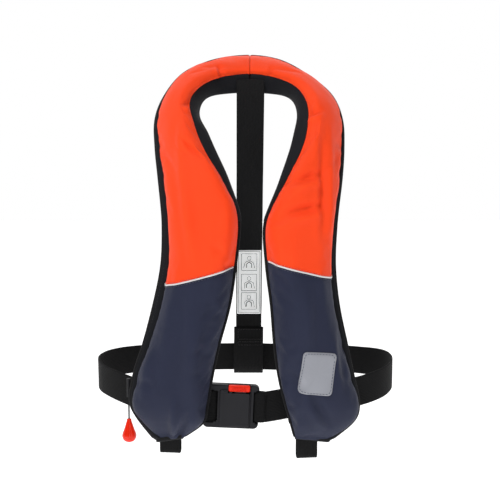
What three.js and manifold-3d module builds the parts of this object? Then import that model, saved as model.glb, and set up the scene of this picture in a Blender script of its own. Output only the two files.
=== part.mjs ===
// Inflatable life jacket (adult, horseshoe collar, automatic inflator), worn shape, buckled.
// Millimetres, +X to the wearer's left, +Y to the wearer's back, +Z up.
// The origin is where the lining of the collar rests on the nape of the wearer's neck.
import * as THREE from 'three';
import { LoftGeometry } from 'three/addons/geometries/LoftGeometry.js';
import { mergeVertices } from 'three/addons/utils/BufferGeometryUtils.js';
import Module from 'manifold-3d';

const wasm = await Module();
wasm.setup();

// ---- driving dimensions ------------------------------------------------------------------

const GAP = 0.3; // clearance between pieces that touch
const LINING = 5; // padded mesh lining
const CLOTH = 2.2; // cover cloth with its seam allowance
const DOME_POWER = 0.6; // how square the packed cover is
const DOME_STEPS = 9;
const GUSSET_LEAN = 16; // how far the lining reaches inside the cover round the neck
const CORNER_LEAN = 10; // how much less it reaches in at the neck hole's upper corners
const NECK_CORNER = 13; // the row of those corners
const LEFT_MARGIN_SHARE = 0.6; // the wearer's left lobe shows less of its outer edge
const WEBBING = 50; // width of the waist belt
const STRAP_WIDTH = 47; // width of the back strap
const STRAP_END_WIDTH = 54; // width of the piece that holds the strap to the belt
const WEB = 2; // webbing thickness
const PIPING = 3; // reflective piping, width of the seam that holds it
const CORD_RADIUS = 1.25;
const BLACK = 0x17181a;
const ORANGE = 0xff4a22;
const NAVY = 0x2c3047;

// Cross-sections of a lobe, from its tip to the top of the shoulder. The cover's inner and
// outer edges give each section its place; height is the packed thickness, gusset the top of
// the inner side wall, margin how far the lining shows outside the cover.
// [inner z, outer z, inner y, outer y, height, gusset, margin,
//  inner x and outer x of the lobe at -X, inner x and outer x of the lobe at +X]
const LOBE = [
  [-548, -557, -158, -147, 18, 6, 8, 104, 142, 70, 122],
  [-522, -522, -158, -140, 33, 6, 9, 72, 171, 63, 164],
  [-495, -498, -158, -136, 43, 6, 8, 66, 184, 55, 170],
  [-448, -450, -158, -134, 46, 6, 10, 58, 176, 44, 159],
  [-398, -400, -158, -132, 47, 6, 12, 47, 158, 37, 147],
  [-338, -340, -158, -130, 47, 6, 14, 31, 140, 32, 133],
  [-273, -275, -157, -126, 47, 6, 13, 21, 128, 24, 127],
  [-213, -215, -154, -120, 47, 7, 12, 15, 127, 21, 130],
  [-186, -188, -150, -113, 47, 10, 12, 18, 129, 29, 133],
  [-143, -140, -137, -98, 46, 17, 10, 37, 137, 50, 141],
  [-104, -92, -118, -74, 45, 24, 8, 60, 146, 69, 147],
  [-68, -48, -94, -46, 44, 27, 7, 77, 150, 80, 148],
  [-39, -9, -66, -14, 43, 28, 6, 88, 140, 83, 136],
];
// The collar from the shoulder to the nape.
const COLLAR = [
  [-10, 31, -27, 20, 41, 28, 6, 77, 112, 70, 95],
  [6, 58, 3, 56, 39, 28, 4, 48, 63, 42, 52],
];
const NAPE = [10.6, 68, 12, 80, 37, 28, 3, 0, 0, 0, 0];

// ---- solids, cuts and joins ----------------------------------------------------------------

function solidOf(geometry) {
  const bare = new THREE.BufferGeometry().copy(geometry);
  bare.deleteAttribute('normal');
  bare.deleteAttribute('uv');
  const merged = mergeVertices(bare, 1e-4);
  return new wasm.Manifold(new wasm.Mesh({
    numProp: 3,
    vertProperties: new Float32Array(merged.attributes.position.array),
    triVerts: new Uint32Array(merged.index.array),
  }));
}

function geometryOf(solid) {
  const mesh = solid.getMesh();
  const geometry = new THREE.BufferGeometry();
  geometry.setAttribute('position', new THREE.BufferAttribute(mesh.vertProperties, mesh.numProp));
  geometry.setIndex(new THREE.BufferAttribute(mesh.triVerts, 1));
  geometry.computeVertexNormals();
  return geometry;
}

const cut = (body, ...tools) => geometryOf(tools.reduce((s, t) => s.subtract(solidOf(t)), solidOf(body)));
const join = (body, ...more) => geometryOf(more.reduce((s, t) => s.add(solidOf(t)), solidOf(body)));
const common = (a, b) => geometryOf(solidOf(a).intersect(solidOf(b)));

// ---- basic shapes ----------------------------------------------------------------------------

function roundedOutline(width, height, radius, path = new THREE.Shape()) {
  const x = width / 2 - radius;
  const y = height / 2 - radius;
  path.absarc(x, y, radius, 0, Math.PI / 2);
  path.absarc(-x, y, radius, Math.PI / 2, Math.PI);
  path.absarc(-x, -y, radius, Math.PI, Math.PI * 1.5);
  path.absarc(x, -y, radius, Math.PI * 1.5, Math.PI * 2);
  path.closePath();
  return path;
}

// A plate in the XZ plane, its thickness along Y, centred.
function plate(width, height, radius, thickness, bevel = 0) {
  const inner = Math.min(radius, Math.min(width, height) / 2 - bevel - 0.1);
  const geometry = new THREE.ExtrudeGeometry(roundedOutline(width - 2 * bevel, height - 2 * bevel, inner), {
    depth: thickness - 2 * bevel, curveSegments: 3,
    bevelEnabled: bevel > 0, bevelThickness: bevel, bevelSize: bevel, bevelSegments: 1,
  });
  return geometry.translate(0, 0, bevel - thickness / 2).rotateX(Math.PI / 2);
}

const box = (width, depth, height, x, y, z) => new THREE.BoxGeometry(width, depth, height).translate(x, y, z);

// A cylinder along Z from z0 to z1.
function rod(radius, z0, z1, x = 0, y = 0, segments = 16) {
  const geometry = new THREE.CylinderGeometry(radius, radius, z1 - z0, segments);
  return geometry.rotateX(Math.PI / 2).translate(x, y, (z0 + z1) / 2);
}

// A solid turned about Z; the outline is [radius, z] from its foot on the axis to its top on the axis.
function turned(outline, segments = 20) {
  const points = outline.map(([r, z]) => new THREE.Vector2(r, z));
  return new THREE.LatheGeometry(points, segments).rotateX(Math.PI / 2);
}

// A band of webbing along a route, its width kept along widthDirection.
function webbing(route, width, thickness, widthDirection, steps) {
  const curve = new THREE.CatmullRomCurve3(route.map((p) => new THREE.Vector3(...p)), false, 'centripetal');
  const sections = [];
  for (let i = 0; i <= steps; i++) {
    const centre = curve.getPointAt(i / steps);
    const along = curve.getTangentAt(i / steps);
    const wide = new THREE.Vector3(...widthDirection);
    wide.addScaledVector(along, -wide.dot(along)).normalize();
    const thick = new THREE.Vector3().crossVectors(along, wide);
    sections.push([[-1, -1], [1, -1], [1, 1], [-1, 1]].map(([a, b]) => centre.clone()
      .addScaledVector(wide, a * width / 2).addScaledVector(thick, b * thickness / 2)));
  }
  return new LoftGeometry(sections, { capStart: true, capEnd: true });
}

// The end of a webbing band folded round a bar: a flat ring seen along Z.
function barLoop(length, depth, height, x) {
  const outline = roundedOutline(length, depth, depth / 2 - 0.1);
  const inside = depth - 2 * WEB;
  outline.holes.push(roundedOutline(length - 2 * WEB, inside, inside / 2 - 0.1, new THREE.Path()));
  const options = { depth: height, bevelEnabled: false, curveSegments: 5 };
  const geometry = new THREE.ExtrudeGeometry(outline, options);
  return geometry.translate(x, 0, -height / 2);
}

// A round cord or tube along a route.
function round(route, radius, steps, sides = 8, hole = 0) {
  const curve = new THREE.CatmullRomCurve3(route.map((p) => new THREE.Vector3(...p)), false, 'centripetal');
  const outline = new THREE.Shape().absarc(0, 0, radius, 0, Math.PI * 2);
  if (hole) outline.holes.push(new THREE.Path().absarc(0, 0, hole, 0, Math.PI * 2));
  const options = { extrudePath: curve, steps, curveSegments: sides, bevelEnabled: false };
  return new THREE.ExtrudeGeometry(outline, options);
}

// ---- the horseshoe: sections from one tip round the neck to the other --------------------------

const rows = [
  ...LOBE.map((r) => [r, -1]), ...COLLAR.map((r) => [r, -1]), [NAPE, -1],
  ...COLLAR.toReversed().map((r) => [r, 1]), ...LOBE.toReversed().map((r) => [r, 1]),
];
const LAST = rows.length - 1;
const NAPE_ROW = LAST / 2;
const COLLAR_FROM = 8; // the row where the lobe begins to turn towards the shoulder
function curveOf(pick) {
  return new THREE.CatmullRomCurve3(rows.map(([r, side]) => new THREE.Vector3(...pick(r, side))));
}
const innerEdge = curveOf((r, side) => [side * (side < 0 ? r[7] : r[9]), r[2], r[0]]);
const outerEdge = curveOf((r, side) => [side * (side < 0 ? r[8] : r[10]), r[3], r[1]]);
const marginOf = (r, side) => (side < 0 ? r[6] : Math.max(r[6] * LEFT_MARGIN_SHARE, 3));
const thicknesses = curveOf((r, side) => [r[4], r[5], marginOf(r, side)]);

// The section at a row number, whole or not: row 0 is the tip at -X, LAST the tip at +X.
function sectionAt(row) {
  const t = THREE.MathUtils.clamp(row / LAST, 0, 1);
  const middle = (s) => innerEdge.getPoint(s).add(outerEdge.getPoint(s)).multiplyScalar(0.5);
  const step = 0.002;
  const inner = innerEdge.getPoint(t);
  const across = outerEdge.getPoint(t).sub(inner);
  const width = across.length();
  across.divideScalar(width);
  const along = middle(Math.min(t + step, 1)).sub(middle(Math.max(t - step, 0)));
  const out = new THREE.Vector3().crossVectors(along, across).normalize();
  along.addScaledVector(out, -along.dot(out)).normalize();
  const size = thicknesses.getPoint(t);
  const fromCorner = Math.min(row, LAST - row) - NECK_CORNER;
  const lean = 2 + (GUSSET_LEAN - 2) * THREE.MathUtils.smoothstep(size.y, 10, 30)
    - CORNER_LEAN * Math.exp(-(fromCorner ** 2));
  const fall = 0.1 + 0.5 * THREE.MathUtils.smoothstep(size.y, 7, 28); // the collar's cover is flatter outside
  return {
    row, width, height: size.x, gusset: size.y, margin: size.z, lean, fall, inner, across, out, along,
    place: (u, v) => inner.clone().addScaledVector(across, u).addScaledVector(out, v),
  };
}

// The rows at which every piece of the horseshoe has a section, so that neighbours fit each other:
// closer together round the collar, where the sections turn, and closest at the tips.
function spacing(row) {
  const fromNape = Math.abs(row - NAPE_ROW);
  if (fromNape > NAPE_ROW - 1) return 0.25;
  return fromNape > NAPE_ROW - COLLAR_FROM ? 1 : 0.5;
}
const grid = [];
for (let row = 0; row <= LAST; row += spacing(row + 0.1)) grid.push(row);

// Lofts a profile, a list of [across, out] in millimetres, from one row number to another.
function horseshoe(from, to, profile) {
  const pointsAt = (row) => {
    const section = sectionAt(row);
    return profile(section).map(([u, v]) => section.place(u, v));
  };
  const pointsBetween = (row) => {
    const next = grid.find((g) => g >= row);
    if (next === row) return pointsAt(row);
    const before = grid[grid.indexOf(next) - 1];
    const far = pointsAt(next);
    return pointsAt(before).map((p, i) => p.lerp(far[i], (row - before) / (next - before)));
  };
  const stops = [from, ...grid.filter((g) => g > from + 0.01 && g < to - 0.01), to];
  return new LoftGeometry(stops.map(pointsBetween), { capStart: true, capEnd: true });
}

// The rounded top of the packed jacket, from the outer edge over to the inner edge.
function dome(s, inset, foot, steps = DOME_STEPS) {
  const points = [];
  const half = s.width / 2;
  for (let i = 0; i <= steps; i++) {
    const angle = Math.PI * i / steps;
    const u = half + (half - inset) * Math.sign(Math.cos(angle)) * Math.abs(Math.cos(angle)) ** DOME_POWER;
    const base = baseLine(s, u, foot);
    const top = s.height * (1 + s.fall * (0.3 - u / s.width)) - inset;
    points.push([u, base + (top - base) * Math.abs(Math.sin(angle)) ** DOME_POWER]);
  }
  return points;
}

// The cover's lower edge rises from the lining at the outside to the top of the gusset at the inside.
function baseLine(s, u, foot) {
  return foot + (Math.max(s.gusset, foot) - foot) * (1 - u / s.width);
}

const FOOT = LINING + GAP;
const footPoint = (s, share) => [s.width * share, baseLine(s, s.width * share, FOOT)];
const coverProfile = (s) => [...dome(s, 0, FOOT), footPoint(s, 0.33), footPoint(s, 0.67)];
const cavityProfile = (s) => [...dome(s, CLOTH, FOOT), [CLOTH, -6], [s.width - CLOTH, -6]];
const rectangle = (u0, u1, v0, v1) => [[u0, v0], [u1, v0], [u1, v1], [u0, v1]];
// A flat layer under the whole section, with points where the cover's walls stand on it.
function layer(u0, u1, v0, v1, width) {
  const stops = [u0, 0, width * 0.33, width * 0.67, width, u1];
  return [...stops.map((u) => [u, v0]), ...stops.toReversed().map((u) => [u, v1])];
}

const jacket = new THREE.Group();
function add(name, geometry, color, roughness = 0.9, metalness = 0, parent = jacket) {
  const mesh = new THREE.Mesh(geometry, new THREE.MeshStandardMaterial({ color, roughness, metalness }));
  mesh.name = name;
  parent.add(mesh);
  return mesh;
}

// ---- lining, cover, gusset and edges ------------------------------------------------------------

const SHOULDER_ROW = 10; // the seam between a lobe's lining and the collar's
const SEAM = 0.02; // half of the seam gap, in rows
const liningProfile = (s) => layer(-s.lean, s.width + s.margin, 0, LINING, s.width);
add('lining_right_lobe', horseshoe(0, SHOULDER_ROW - SEAM, liningProfile), BLACK);
add('lining_collar', horseshoe(SHOULDER_ROW + SEAM, LAST - SHOULDER_ROW - SEAM, liningProfile), BLACK);
add('lining_left_lobe', horseshoe(LAST - SHOULDER_ROW + SEAM, LAST, liningProfile), BLACK);

const END_WALL = 0.5; // rows of cloth left to close the tip of a lobe
const cavity = horseshoe(END_WALL, LAST - END_WALL, cavityProfile);

// The reflective piping between the orange and the navy cloth falls outwards.
const PIPING_LINE = { '-1': { x: -78, z: -290, tilt: 0.287 }, 1: { x: 78, z: -280, tilt: 0.272 } };
function acrossSeam(side, low, high) {
  const line = PIPING_LINE[side];
  const slab = new THREE.BoxGeometry(600, 400, high - low).translate(0, 0, (high + low) / 2);
  return slab.rotateY(side * Math.atan(line.tilt)).translate(line.x, -150, line.z);
}

const TIP_MARGIN = 0.2; // rows of lining that show beyond the tip of the cover
const SIDES = [
  { side: -1, name: 'right', from: TIP_MARGIN, to: NAPE_ROW - SEAM },
  { side: 1, name: 'left', from: NAPE_ROW + SEAM, to: LAST - TIP_MARGIN },
];
for (const { side, name, from, to } of SIDES) {
  const cover = cut(horseshoe(from, to, coverProfile), cavity);
  add(`cover_orange_${name}`, common(cover, acrossSeam(side, PIPING / 2, 700)), ORANGE, 0.8);
  add(`cover_navy_${name}`, common(cover, acrossSeam(side, -700, -PIPING / 2)), NAVY, 0.8);

  const raised = (s) => dome({ ...s, height: s.height + 1.4 }, 0, FOOT);
  const near = side < 0 ? [4, 9] : [LAST - 9, LAST - 4];
  const slice = acrossSeam(side, GAP - PIPING / 2, PIPING / 2 - GAP);
  const ribbon = common(cut(horseshoe(...near, raised), cavity), slice);
  add(`reflective_piping_${name}`, ribbon, 0xd8dadd, 0.35);
}

const gussetProfile = (s) => [
  [-s.lean, FOOT], [2.6 - s.lean, FOOT], [2.2, s.gusset - GAP - 0.9], [-0.2, s.gusset - GAP],
];
add('neck_gusset_right', horseshoe(8.6, NAPE_ROW - SEAM, gussetProfile), BLACK);
add('neck_gusset_left', horseshoe(NAPE_ROW + SEAM, LAST - 8.6, gussetProfile), BLACK);

const BINDING = 3; // thickness of the folded edge tape
const bindingProfile = (s) => rectangle(s.width + GAP, s.width + s.margin, FOOT, FOOT + BINDING);
const loopProfile = (s) => rectangle(s.width - 18, s.width - CLOTH - 1.2, FOOT + 0.6, FOOT + 2.2);
const hookProfile = (s) => rectangle(s.width - 18, s.width - CLOTH - 1.2, FOOT + 2.5, FOOT + 4.1);
const CLOSURE = [1.2, 11.5]; // rows between which the cover is closed by hook and loop tape
for (const { side, name } of SIDES) {
  const span = (a, b) => (side < 0 ? [a, b] : [LAST - b, LAST - a]);
  add(`edge_binding_${name}`, horseshoe(...span(TIP_MARGIN, NAPE_ROW - SEAM), bindingProfile), BLACK);
  add(`closure_loop_tape_${name}`, horseshoe(...span(...CLOSURE), loopProfile), BLACK);
  add(`closure_hook_tape_${name}`, horseshoe(...span(...CLOSURE), hookProfile), BLACK);
}

// ---- bladder --------------------------------------------------------------------------------------

const BLADDER_FOOT = 9.6;
const BLADDER_INSET = 6.5;
// The folded bladder takes the inner part of each lower lobe, beside the inflator and the oral tube.
function bladderShare(row) {
  const smooth = THREE.MathUtils.smoothstep;
  return 0.27 + 0.73 * smooth(row, 6.2, 7.6) * (1 - smooth(row, LAST - 9.6, LAST - 8.2));
}
function bladderProfile(s) {
  const share = bladderShare(s.row);
  const lower = { ...s, height: s.height - 6 * (1 - share) };
  const whole = dome(lower, BLADDER_INSET, BLADDER_FOOT, 7);
  return whole.map(([u, v]) => [BLADDER_INSET + (u - BLADDER_INSET) * share, v]);
}
add('bladder', horseshoe(1.4, LAST - 1.4, bladderProfile), 0xf2b84b, 0.6);

// ---- back strap and instruction label ---------------------------------------------------------------

const BACK_BELT = { y: 92, z: -475 };
// The strap leans a little towards the wearer's right on its way down.
const STRAP_ROUTE = [
  [1, -12.5, 24], [0.8, -11, 0], [0.4, 4, -50], [-0.2, 32, -130], [-1, 60, -230], [-1.8, 78, -340],
  [-2.5, BACK_BELT.y - 5, -430], [-3, BACK_BELT.y - 5, -496],
];
// A wider piece lies over the strap's end, goes under the belt, up behind it and is sewn.
const STRAP_END = [
  [-2.3, BACK_BELT.y - 8, -399], [-2.5, BACK_BELT.y - 5, -430], [-2.8, BACK_BELT.y - 5, -465],
  [-3, BACK_BELT.y - 5, -492], [-3, BACK_BELT.y - 4.5, -497], [-3, BACK_BELT.y, -506],
  [-3, BACK_BELT.y + 4.5, -497], [-3, BACK_BELT.y + 5, -446],
];
add('back_strap', join(
  webbing(STRAP_ROUTE, STRAP_WIDTH, WEB, [1, 0, 0], 26),
  webbing(STRAP_END, STRAP_END_WIDTH, WEB, [1, 0, 0], 24),
), BLACK);

const LABEL = { width: 43, length: 124, thickness: 0.8, middle: -335 };
// The strap's front face between two heights, followed by the label.
function labelRoute() {
  const points = STRAP_ROUTE.map((p) => new THREE.Vector3(...p));
  const curve = new THREE.CatmullRomCurve3(points, false, 'centripetal');
  const route = [];
  for (let i = 0; i <= 200; i++) {
    const point = curve.getPointAt(i / 200);
    if (Math.abs(point.z - LABEL.middle) > LABEL.length / 2) continue;
    const along = curve.getTangentAt(i / 200);
    const front = new THREE.Vector3(0, along.z, -along.y).normalize();
    point.addScaledVector(front, WEB / 2 + GAP + LABEL.thickness / 2);
    route.push(point.toArray());
  }
  return route.filter((_, i) => i % 3 === 0);
}
add('instruction_label', webbing(labelRoute(), LABEL.width, LABEL.thickness, [1, 0, 0], 8), 0xd9dcdf, 0.5);

// ---- waist buckle -------------------------------------------------------------------------------------

const BUCKLE = new THREE.Group();
BUCKLE.position.set(-30, -147, -499.2);
BUCKLE.rotation.y = THREE.MathUtils.degToRad(2.5);
jacket.add(BUCKLE);
const unscaled = new THREE.Vector3(1, 1, 1);
const buckleMatrix = new THREE.Matrix4().compose(BUCKLE.position, BUCKLE.quaternion, unscaled);

const HOUSING = { left: -44, right: 31, height: 70, depth: 15 };
const BAR = 6; // depth of the bar at each outer end, round which the webbing is sewn
const HOUSING_BAR = 15.5; // width of the housing's bar, along the belt
const WINDOW = 7;
const TONGUE = { from: 4, half: 17, thickness: 5.6 };
const BUTTON = { left: -5, right: 29, low: 23.5, high: 34.5 };
const LATCH = { width: 18, depth: 3.4, x: 14, y: 1.1, low: 18, high: 31, pocket: 14.8 };
const SPRING = { x: -1.5, y: -3.4 };

const housingMiddle = (HOUSING.left + HOUSING.right) / 2;
const housingBlank = plate(HOUSING.right - HOUSING.left, HOUSING.height, 7, HOUSING.depth, 1.5);
const barRelief = HOUSING.depth - BAR; // the bar is thinner than the housing, so the webbing lies flush
const barMiddle = HOUSING.left + HOUSING_BAR / 2 - 0.5;
const housing = cut(
  housingBlank.translate(housingMiddle, 0, 0),
  box(WINDOW, 40, WEBBING + 4, HOUSING.left + HOUSING_BAR + WINDOW / 2, 0, 0),
  box(HOUSING_BAR + 1, barRelief, WEBBING + 4, barMiddle, -BAR / 2 - barRelief / 2, 0),
  box(HOUSING_BAR + 1, barRelief, WEBBING + 4, barMiddle, BAR / 2 + barRelief / 2, 0),
  box(40, TONGUE.thickness + 0.8, 2 * TONGUE.half + 0.8, TONGUE.from - 0.4 + 20, 0, 0),
  box(BUTTON.right - BUTTON.left + 0.8, 8.4, 20, (BUTTON.left + BUTTON.right) / 2, -8.4 / 2 - 0.3, 29.2),
  box(LATCH.width + 2.8, LATCH.depth + 0.8, LATCH.pocket, LATCH.x, LATCH.y, 17 + LATCH.pocket / 2),
  rod(3.1, 4, 24, SPRING.x, SPRING.y, 16),
);
add('buckle_housing', housing, BLACK, 0.45, 0, BUCKLE);
const PANEL = { width: 48, height: 52, depth: 2.2, x: 5.2, y: -HOUSING.depth / 2 - GAP - 1.1, z: -6 };
const panel = plate(PANEL.width, PANEL.height, 4, PANEL.depth, 0.8).translate(PANEL.x, PANEL.y, PANEL.z);
add('buckle_front_panel', panel, 0x202124, 0.45, 0, BUCKLE);

const button = plate(BUTTON.right - BUTTON.left, BUTTON.high - BUTTON.low, 2, 7.4, 0.6);
button.translate((BUTTON.left + BUTTON.right) / 2, -4.6, (BUTTON.low + BUTTON.high) / 2);
add('release_button', button, 0xe8352a, 0.4, 0, BUCKLE);
const latchMiddle = (LATCH.low + LATCH.high) / 2;
const latch = box(LATCH.width, LATCH.depth, LATCH.high - LATCH.low, LATCH.x, LATCH.y, latchMiddle);
add('latch_plate', latch, 0xb8bcc0, 0.35, 0.8, BUCKLE);

function coil(radius, wire, from, to, turns, x, y) {
  class Helix extends THREE.Curve {
    getPoint(t, target = new THREE.Vector3()) {
      const angle = turns * 2 * Math.PI * t;
      return target.set(x + radius * Math.cos(angle), y + radius * Math.sin(angle), from + (to - from) * t);
    }
  }
  const outline = new THREE.Shape().absarc(0, 0, wire, 0, Math.PI * 2);
  return new THREE.ExtrudeGeometry(outline, {
    extrudePath: new Helix(), steps: turns * 8, curveSegments: 2, bevelEnabled: false,
  });
}
add('button_spring', coil(2.3, 0.45, 5, 22.6, 6, SPRING.x, SPRING.y), 0xc4c7cb, 0.3, 0.9, BUCKLE);

const FLANGE = { left: 31.7, right: 44, depth: 13.6, bar: 4.5, window: 4.4 };
const flangeMiddle = (FLANGE.left + FLANGE.right) / 2;
const flangeRelief = FLANGE.depth - BAR;
const flangeBar = FLANGE.right - FLANGE.bar / 2 + 0.4;
const bladeLength = FLANGE.left + 1 - TONGUE.from;
const maleHalf = cut(
  join(
    plate(FLANGE.right - FLANGE.left, HOUSING.height, 5, FLANGE.depth, 1.2).translate(flangeMiddle, 0, 0),
    box(bladeLength, TONGUE.thickness, 2 * TONGUE.half, TONGUE.from + bladeLength / 2, 0, 0),
  ),
  box(FLANGE.window, 40, WEBBING + 4, FLANGE.right - FLANGE.bar - FLANGE.window / 2, 0, 0),
  box(FLANGE.bar + 1, flangeRelief, WEBBING + 4, flangeBar, -BAR / 2 - flangeRelief / 2, 0),
  box(FLANGE.bar + 1, flangeRelief, WEBBING + 4, flangeBar, BAR / 2 + flangeRelief / 2, 0),
  box(21, 20, 6, 14, 0, TONGUE.half - 1.5),
);
add('buckle_tongue', maleHalf, BLACK, 0.45, 0, BUCKLE);

// ---- waist belt -----------------------------------------------------------------------------------------

const LOOP_DEPTH = BAR + 2 * (WEB + 0.5);
// The webbing is sewn back on itself round the bar at each end of the buckle.
const housingLoop = barLoop(30.7, LOOP_DEPTH, WEBBING, HOUSING.left + 6.05).applyMatrix4(buckleMatrix);
const tongueLoop = barLoop(18, LOOP_DEPTH, WEBBING, FLANGE.right + 0.8).applyMatrix4(buckleMatrix);
const BELT_ROUTE = [
  [-81, -146, -498], [-100, -143.5, -496.5], [-140, -134, -494], [-188, -110, -488], [-229, -80, -481],
  [-254, -50, -476], [-260, -20, -472], [-247, 16, -470], [-205, 54, -471], [-140, 79, -474],
  [-70, 90, -475], [0, BACK_BELT.y, BACK_BELT.z], [70, 90, -476], [140, 79, -475], [200, 54, -473],
  [235, 16, -470], [244, -18, -471], [240, -46, -475], [221, -74, -481], [180, -100, -488],
  [130, -122, -491], [100, -129.5, -489], [62, -137, -489],
];
add('waist_belt', join(webbing(BELT_ROUTE, WEBBING, WEB, [0, 0, 1], 56), housingLoop), BLACK);
const FRONT_ROUTE = [[21, -146.5, -502.5], [45, -143.5, -499], [88, -138, -492]];
add('belt_front_end', join(webbing(FRONT_ROUTE, WEBBING, WEB, [0, 0, 1], 10), tongueLoop), BLACK);

// Sewn loops on the back of the linings that carry the belt: a flat ring seen along the belt.
const KEEPER = { height: 76, width: 20, cloth: 1.5 };
function keeper(x, y, z, turn, inside) {
  const outline = roundedOutline(inside + 2 * KEEPER.cloth, KEEPER.height, 1.8);
  const hole = roundedOutline(inside, KEEPER.height - 2 * KEEPER.cloth, 0.6, new THREE.Path());
  outline.holes.push(hole);
  const options = { depth: KEEPER.width, bevelEnabled: false, curveSegments: 3 };
  const ring = new THREE.ExtrudeGeometry(outline, options);
  ring.translate(0, 0, -KEEPER.width / 2).rotateX(Math.PI / 2).rotateZ(Math.PI / 2 + turn);
  return ring.translate(x, y, z);
}
add('belt_keeper_right', keeper(-118, -136.2, -493, -0.19, 14), BLACK);
add('belt_keeper_left', keeper(73, -139.8, -494, 0.2, 21), BLACK);

// Loops of webbing at the tips of the lobes, for crotch straps.
const TIP_LOOP = { length: 40, depth: 15, width: 33 };
function tipLoop(x, y, z, turn) {
  const outline = roundedOutline(TIP_LOOP.depth, TIP_LOOP.length, TIP_LOOP.depth / 2 - 0.1);
  const inner = { depth: TIP_LOOP.depth - 2 * WEB - 1, length: TIP_LOOP.length - 2 * WEB - 1 };
  outline.holes.push(roundedOutline(inner.depth, inner.length, inner.depth / 2 - 0.1, new THREE.Path()));
  const options = { depth: TIP_LOOP.width, bevelEnabled: false, curveSegments: 6 };
  const ring = new THREE.ExtrudeGeometry(outline, options);
  ring.translate(0, 0, -TIP_LOOP.width / 2).rotateX(Math.PI / 2).rotateZ(Math.PI / 2);
  return ring.rotateZ(turn).translate(x, y, z);
}
add('crotch_strap_loop_right', tipLoop(-127.5, -137, -560, -0.1), BLACK);
add('crotch_strap_loop_left', tipLoop(90.5, -141.5, -567, 0.12), BLACK);

// ---- inflator, in the lobe at -X ------------------------------------------------------------------
// u runs across from the inner edge, v out from the lining, and z up the lobe.

// y points out of the lining, z up along the lobe, and x completes the frame.
function lobeGroup(row, up) {
  const s = sectionAt(row);
  const group = new THREE.Group();
  const z = s.along.clone().multiplyScalar(up);
  const x = new THREE.Vector3().crossVectors(s.out, z);
  group.position.copy(s.inner);
  group.quaternion.setFromRotationMatrix(new THREE.Matrix4().makeBasis(x, s.out, z));
  jacket.add(group);
  return group;
}

const inflator = lobeGroup(2.9, 1);
const CYLINDER = { u: 66, v: 22.5, radius: 15.5, foot: -24, length: 128, neck: 7.8 };
const c = CYLINDER;
const shoulder = c.foot + 14;
const top = shoulder + c.length;
add('co2_cylinder', turned([
  [0, c.foot], [c.neck, c.foot], [c.neck, c.foot + 11], [c.neck + 2.5, shoulder],
  [c.radius - 2, shoulder + 8], [c.radius, shoulder + 14], [c.radius, top - 12],
  [c.radius - 3, top - 4], [c.radius - 8, top - 0.6], [0, top],
]).translate(c.u, c.v, 0), 0xb9bdc2, 0.35, 0.9, inflator);

const INFLATOR = { low: -52, high: -13, width: 32, depth: 28 };
const inflatorBlank = plate(INFLATOR.width, INFLATOR.high - INFLATOR.low, 4, INFLATOR.depth, 1.5);
const bodyMiddle = (INFLATOR.high + INFLATOR.low) / 2;
const inflatorBody = cut(
  inflatorBlank.translate(c.u, c.v - 1, bodyMiddle),
  rod(c.neck + 0.5, c.foot - 1.5, 0, c.u, c.v),
  rod(2.6, -40, c.foot, c.u, c.v, 16),
  rod(4.4, -60, -31, c.u, c.v),
);
add('inflator_body', inflatorBody, 0x1c1d20, 0.4, 0, inflator);
add('piercing_pin', turned([
  [0, -46], [3.8, -46], [3.8, -43], [2.2, -43], [2.2, -34], [1.2, -31.5], [0, -31.5],
], 18).translate(c.u, c.v, 0), 0xc9ccd0, 0.3, 0.9, inflator);
add('pin_spring', coil(3.3, 0.45, -42.3, -31.8, 4, c.u, c.v), 0xc4c7cb, 0.3, 0.9, inflator);
add('sensor_cap', cut(
  turned([[0, -79], [9, -79], [11, -77], [11, -58], [12, -57.5], [12, -52.4], [0, -52.4]]),
  rod(8, -75, -40),
).translate(c.u - 3, c.v - 3, 0), 0xe9c21e, 0.45, 0, inflator);
add('water_sensing_bobbin', turned([
  [0, -74.6], [7, -74.6], [7, -72], [5, -71], [5, -60], [7, -59], [7, -55], [0, -55],
]).translate(c.u - 3, c.v - 3, 0), 0xf3f1ea, 0.8, 0, inflator);

const LEVER = { u: c.u + INFLATOR.width / 2 + 3.4, z: -26, length: 14.5, rise: THREE.MathUtils.degToRad(45) };
const leverArm = new THREE.Shape().absarc(0, 0, 3, Math.PI / 2, Math.PI * 1.5);
leverArm.absarc(LEVER.length, 0, 2, -Math.PI / 2, Math.PI / 2);
leverArm.holes.push(new THREE.Path().absarc(0, 0, 1.8, 0, Math.PI * 2));
const lever = new THREE.ExtrudeGeometry(leverArm, { depth: 8, bevelEnabled: false, curveSegments: 8 });
lever.translate(0, 0, -4).rotateX(Math.PI / 2).rotateY(-LEVER.rise);
add('manual_lever', lever.translate(LEVER.u, c.v, LEVER.z), 0x1c1d20, 0.4, 0, inflator);
const pivot = new THREE.CylinderGeometry(1.5, 1.5, 15, 16).translate(LEVER.u, c.v, LEVER.z);
add('lever_pivot', pivot, 0xc4c7cb, 0.3, 0.9, inflator);

// ---- pull cord and toggle, outside the same lobe ---------------------------------------------------

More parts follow.
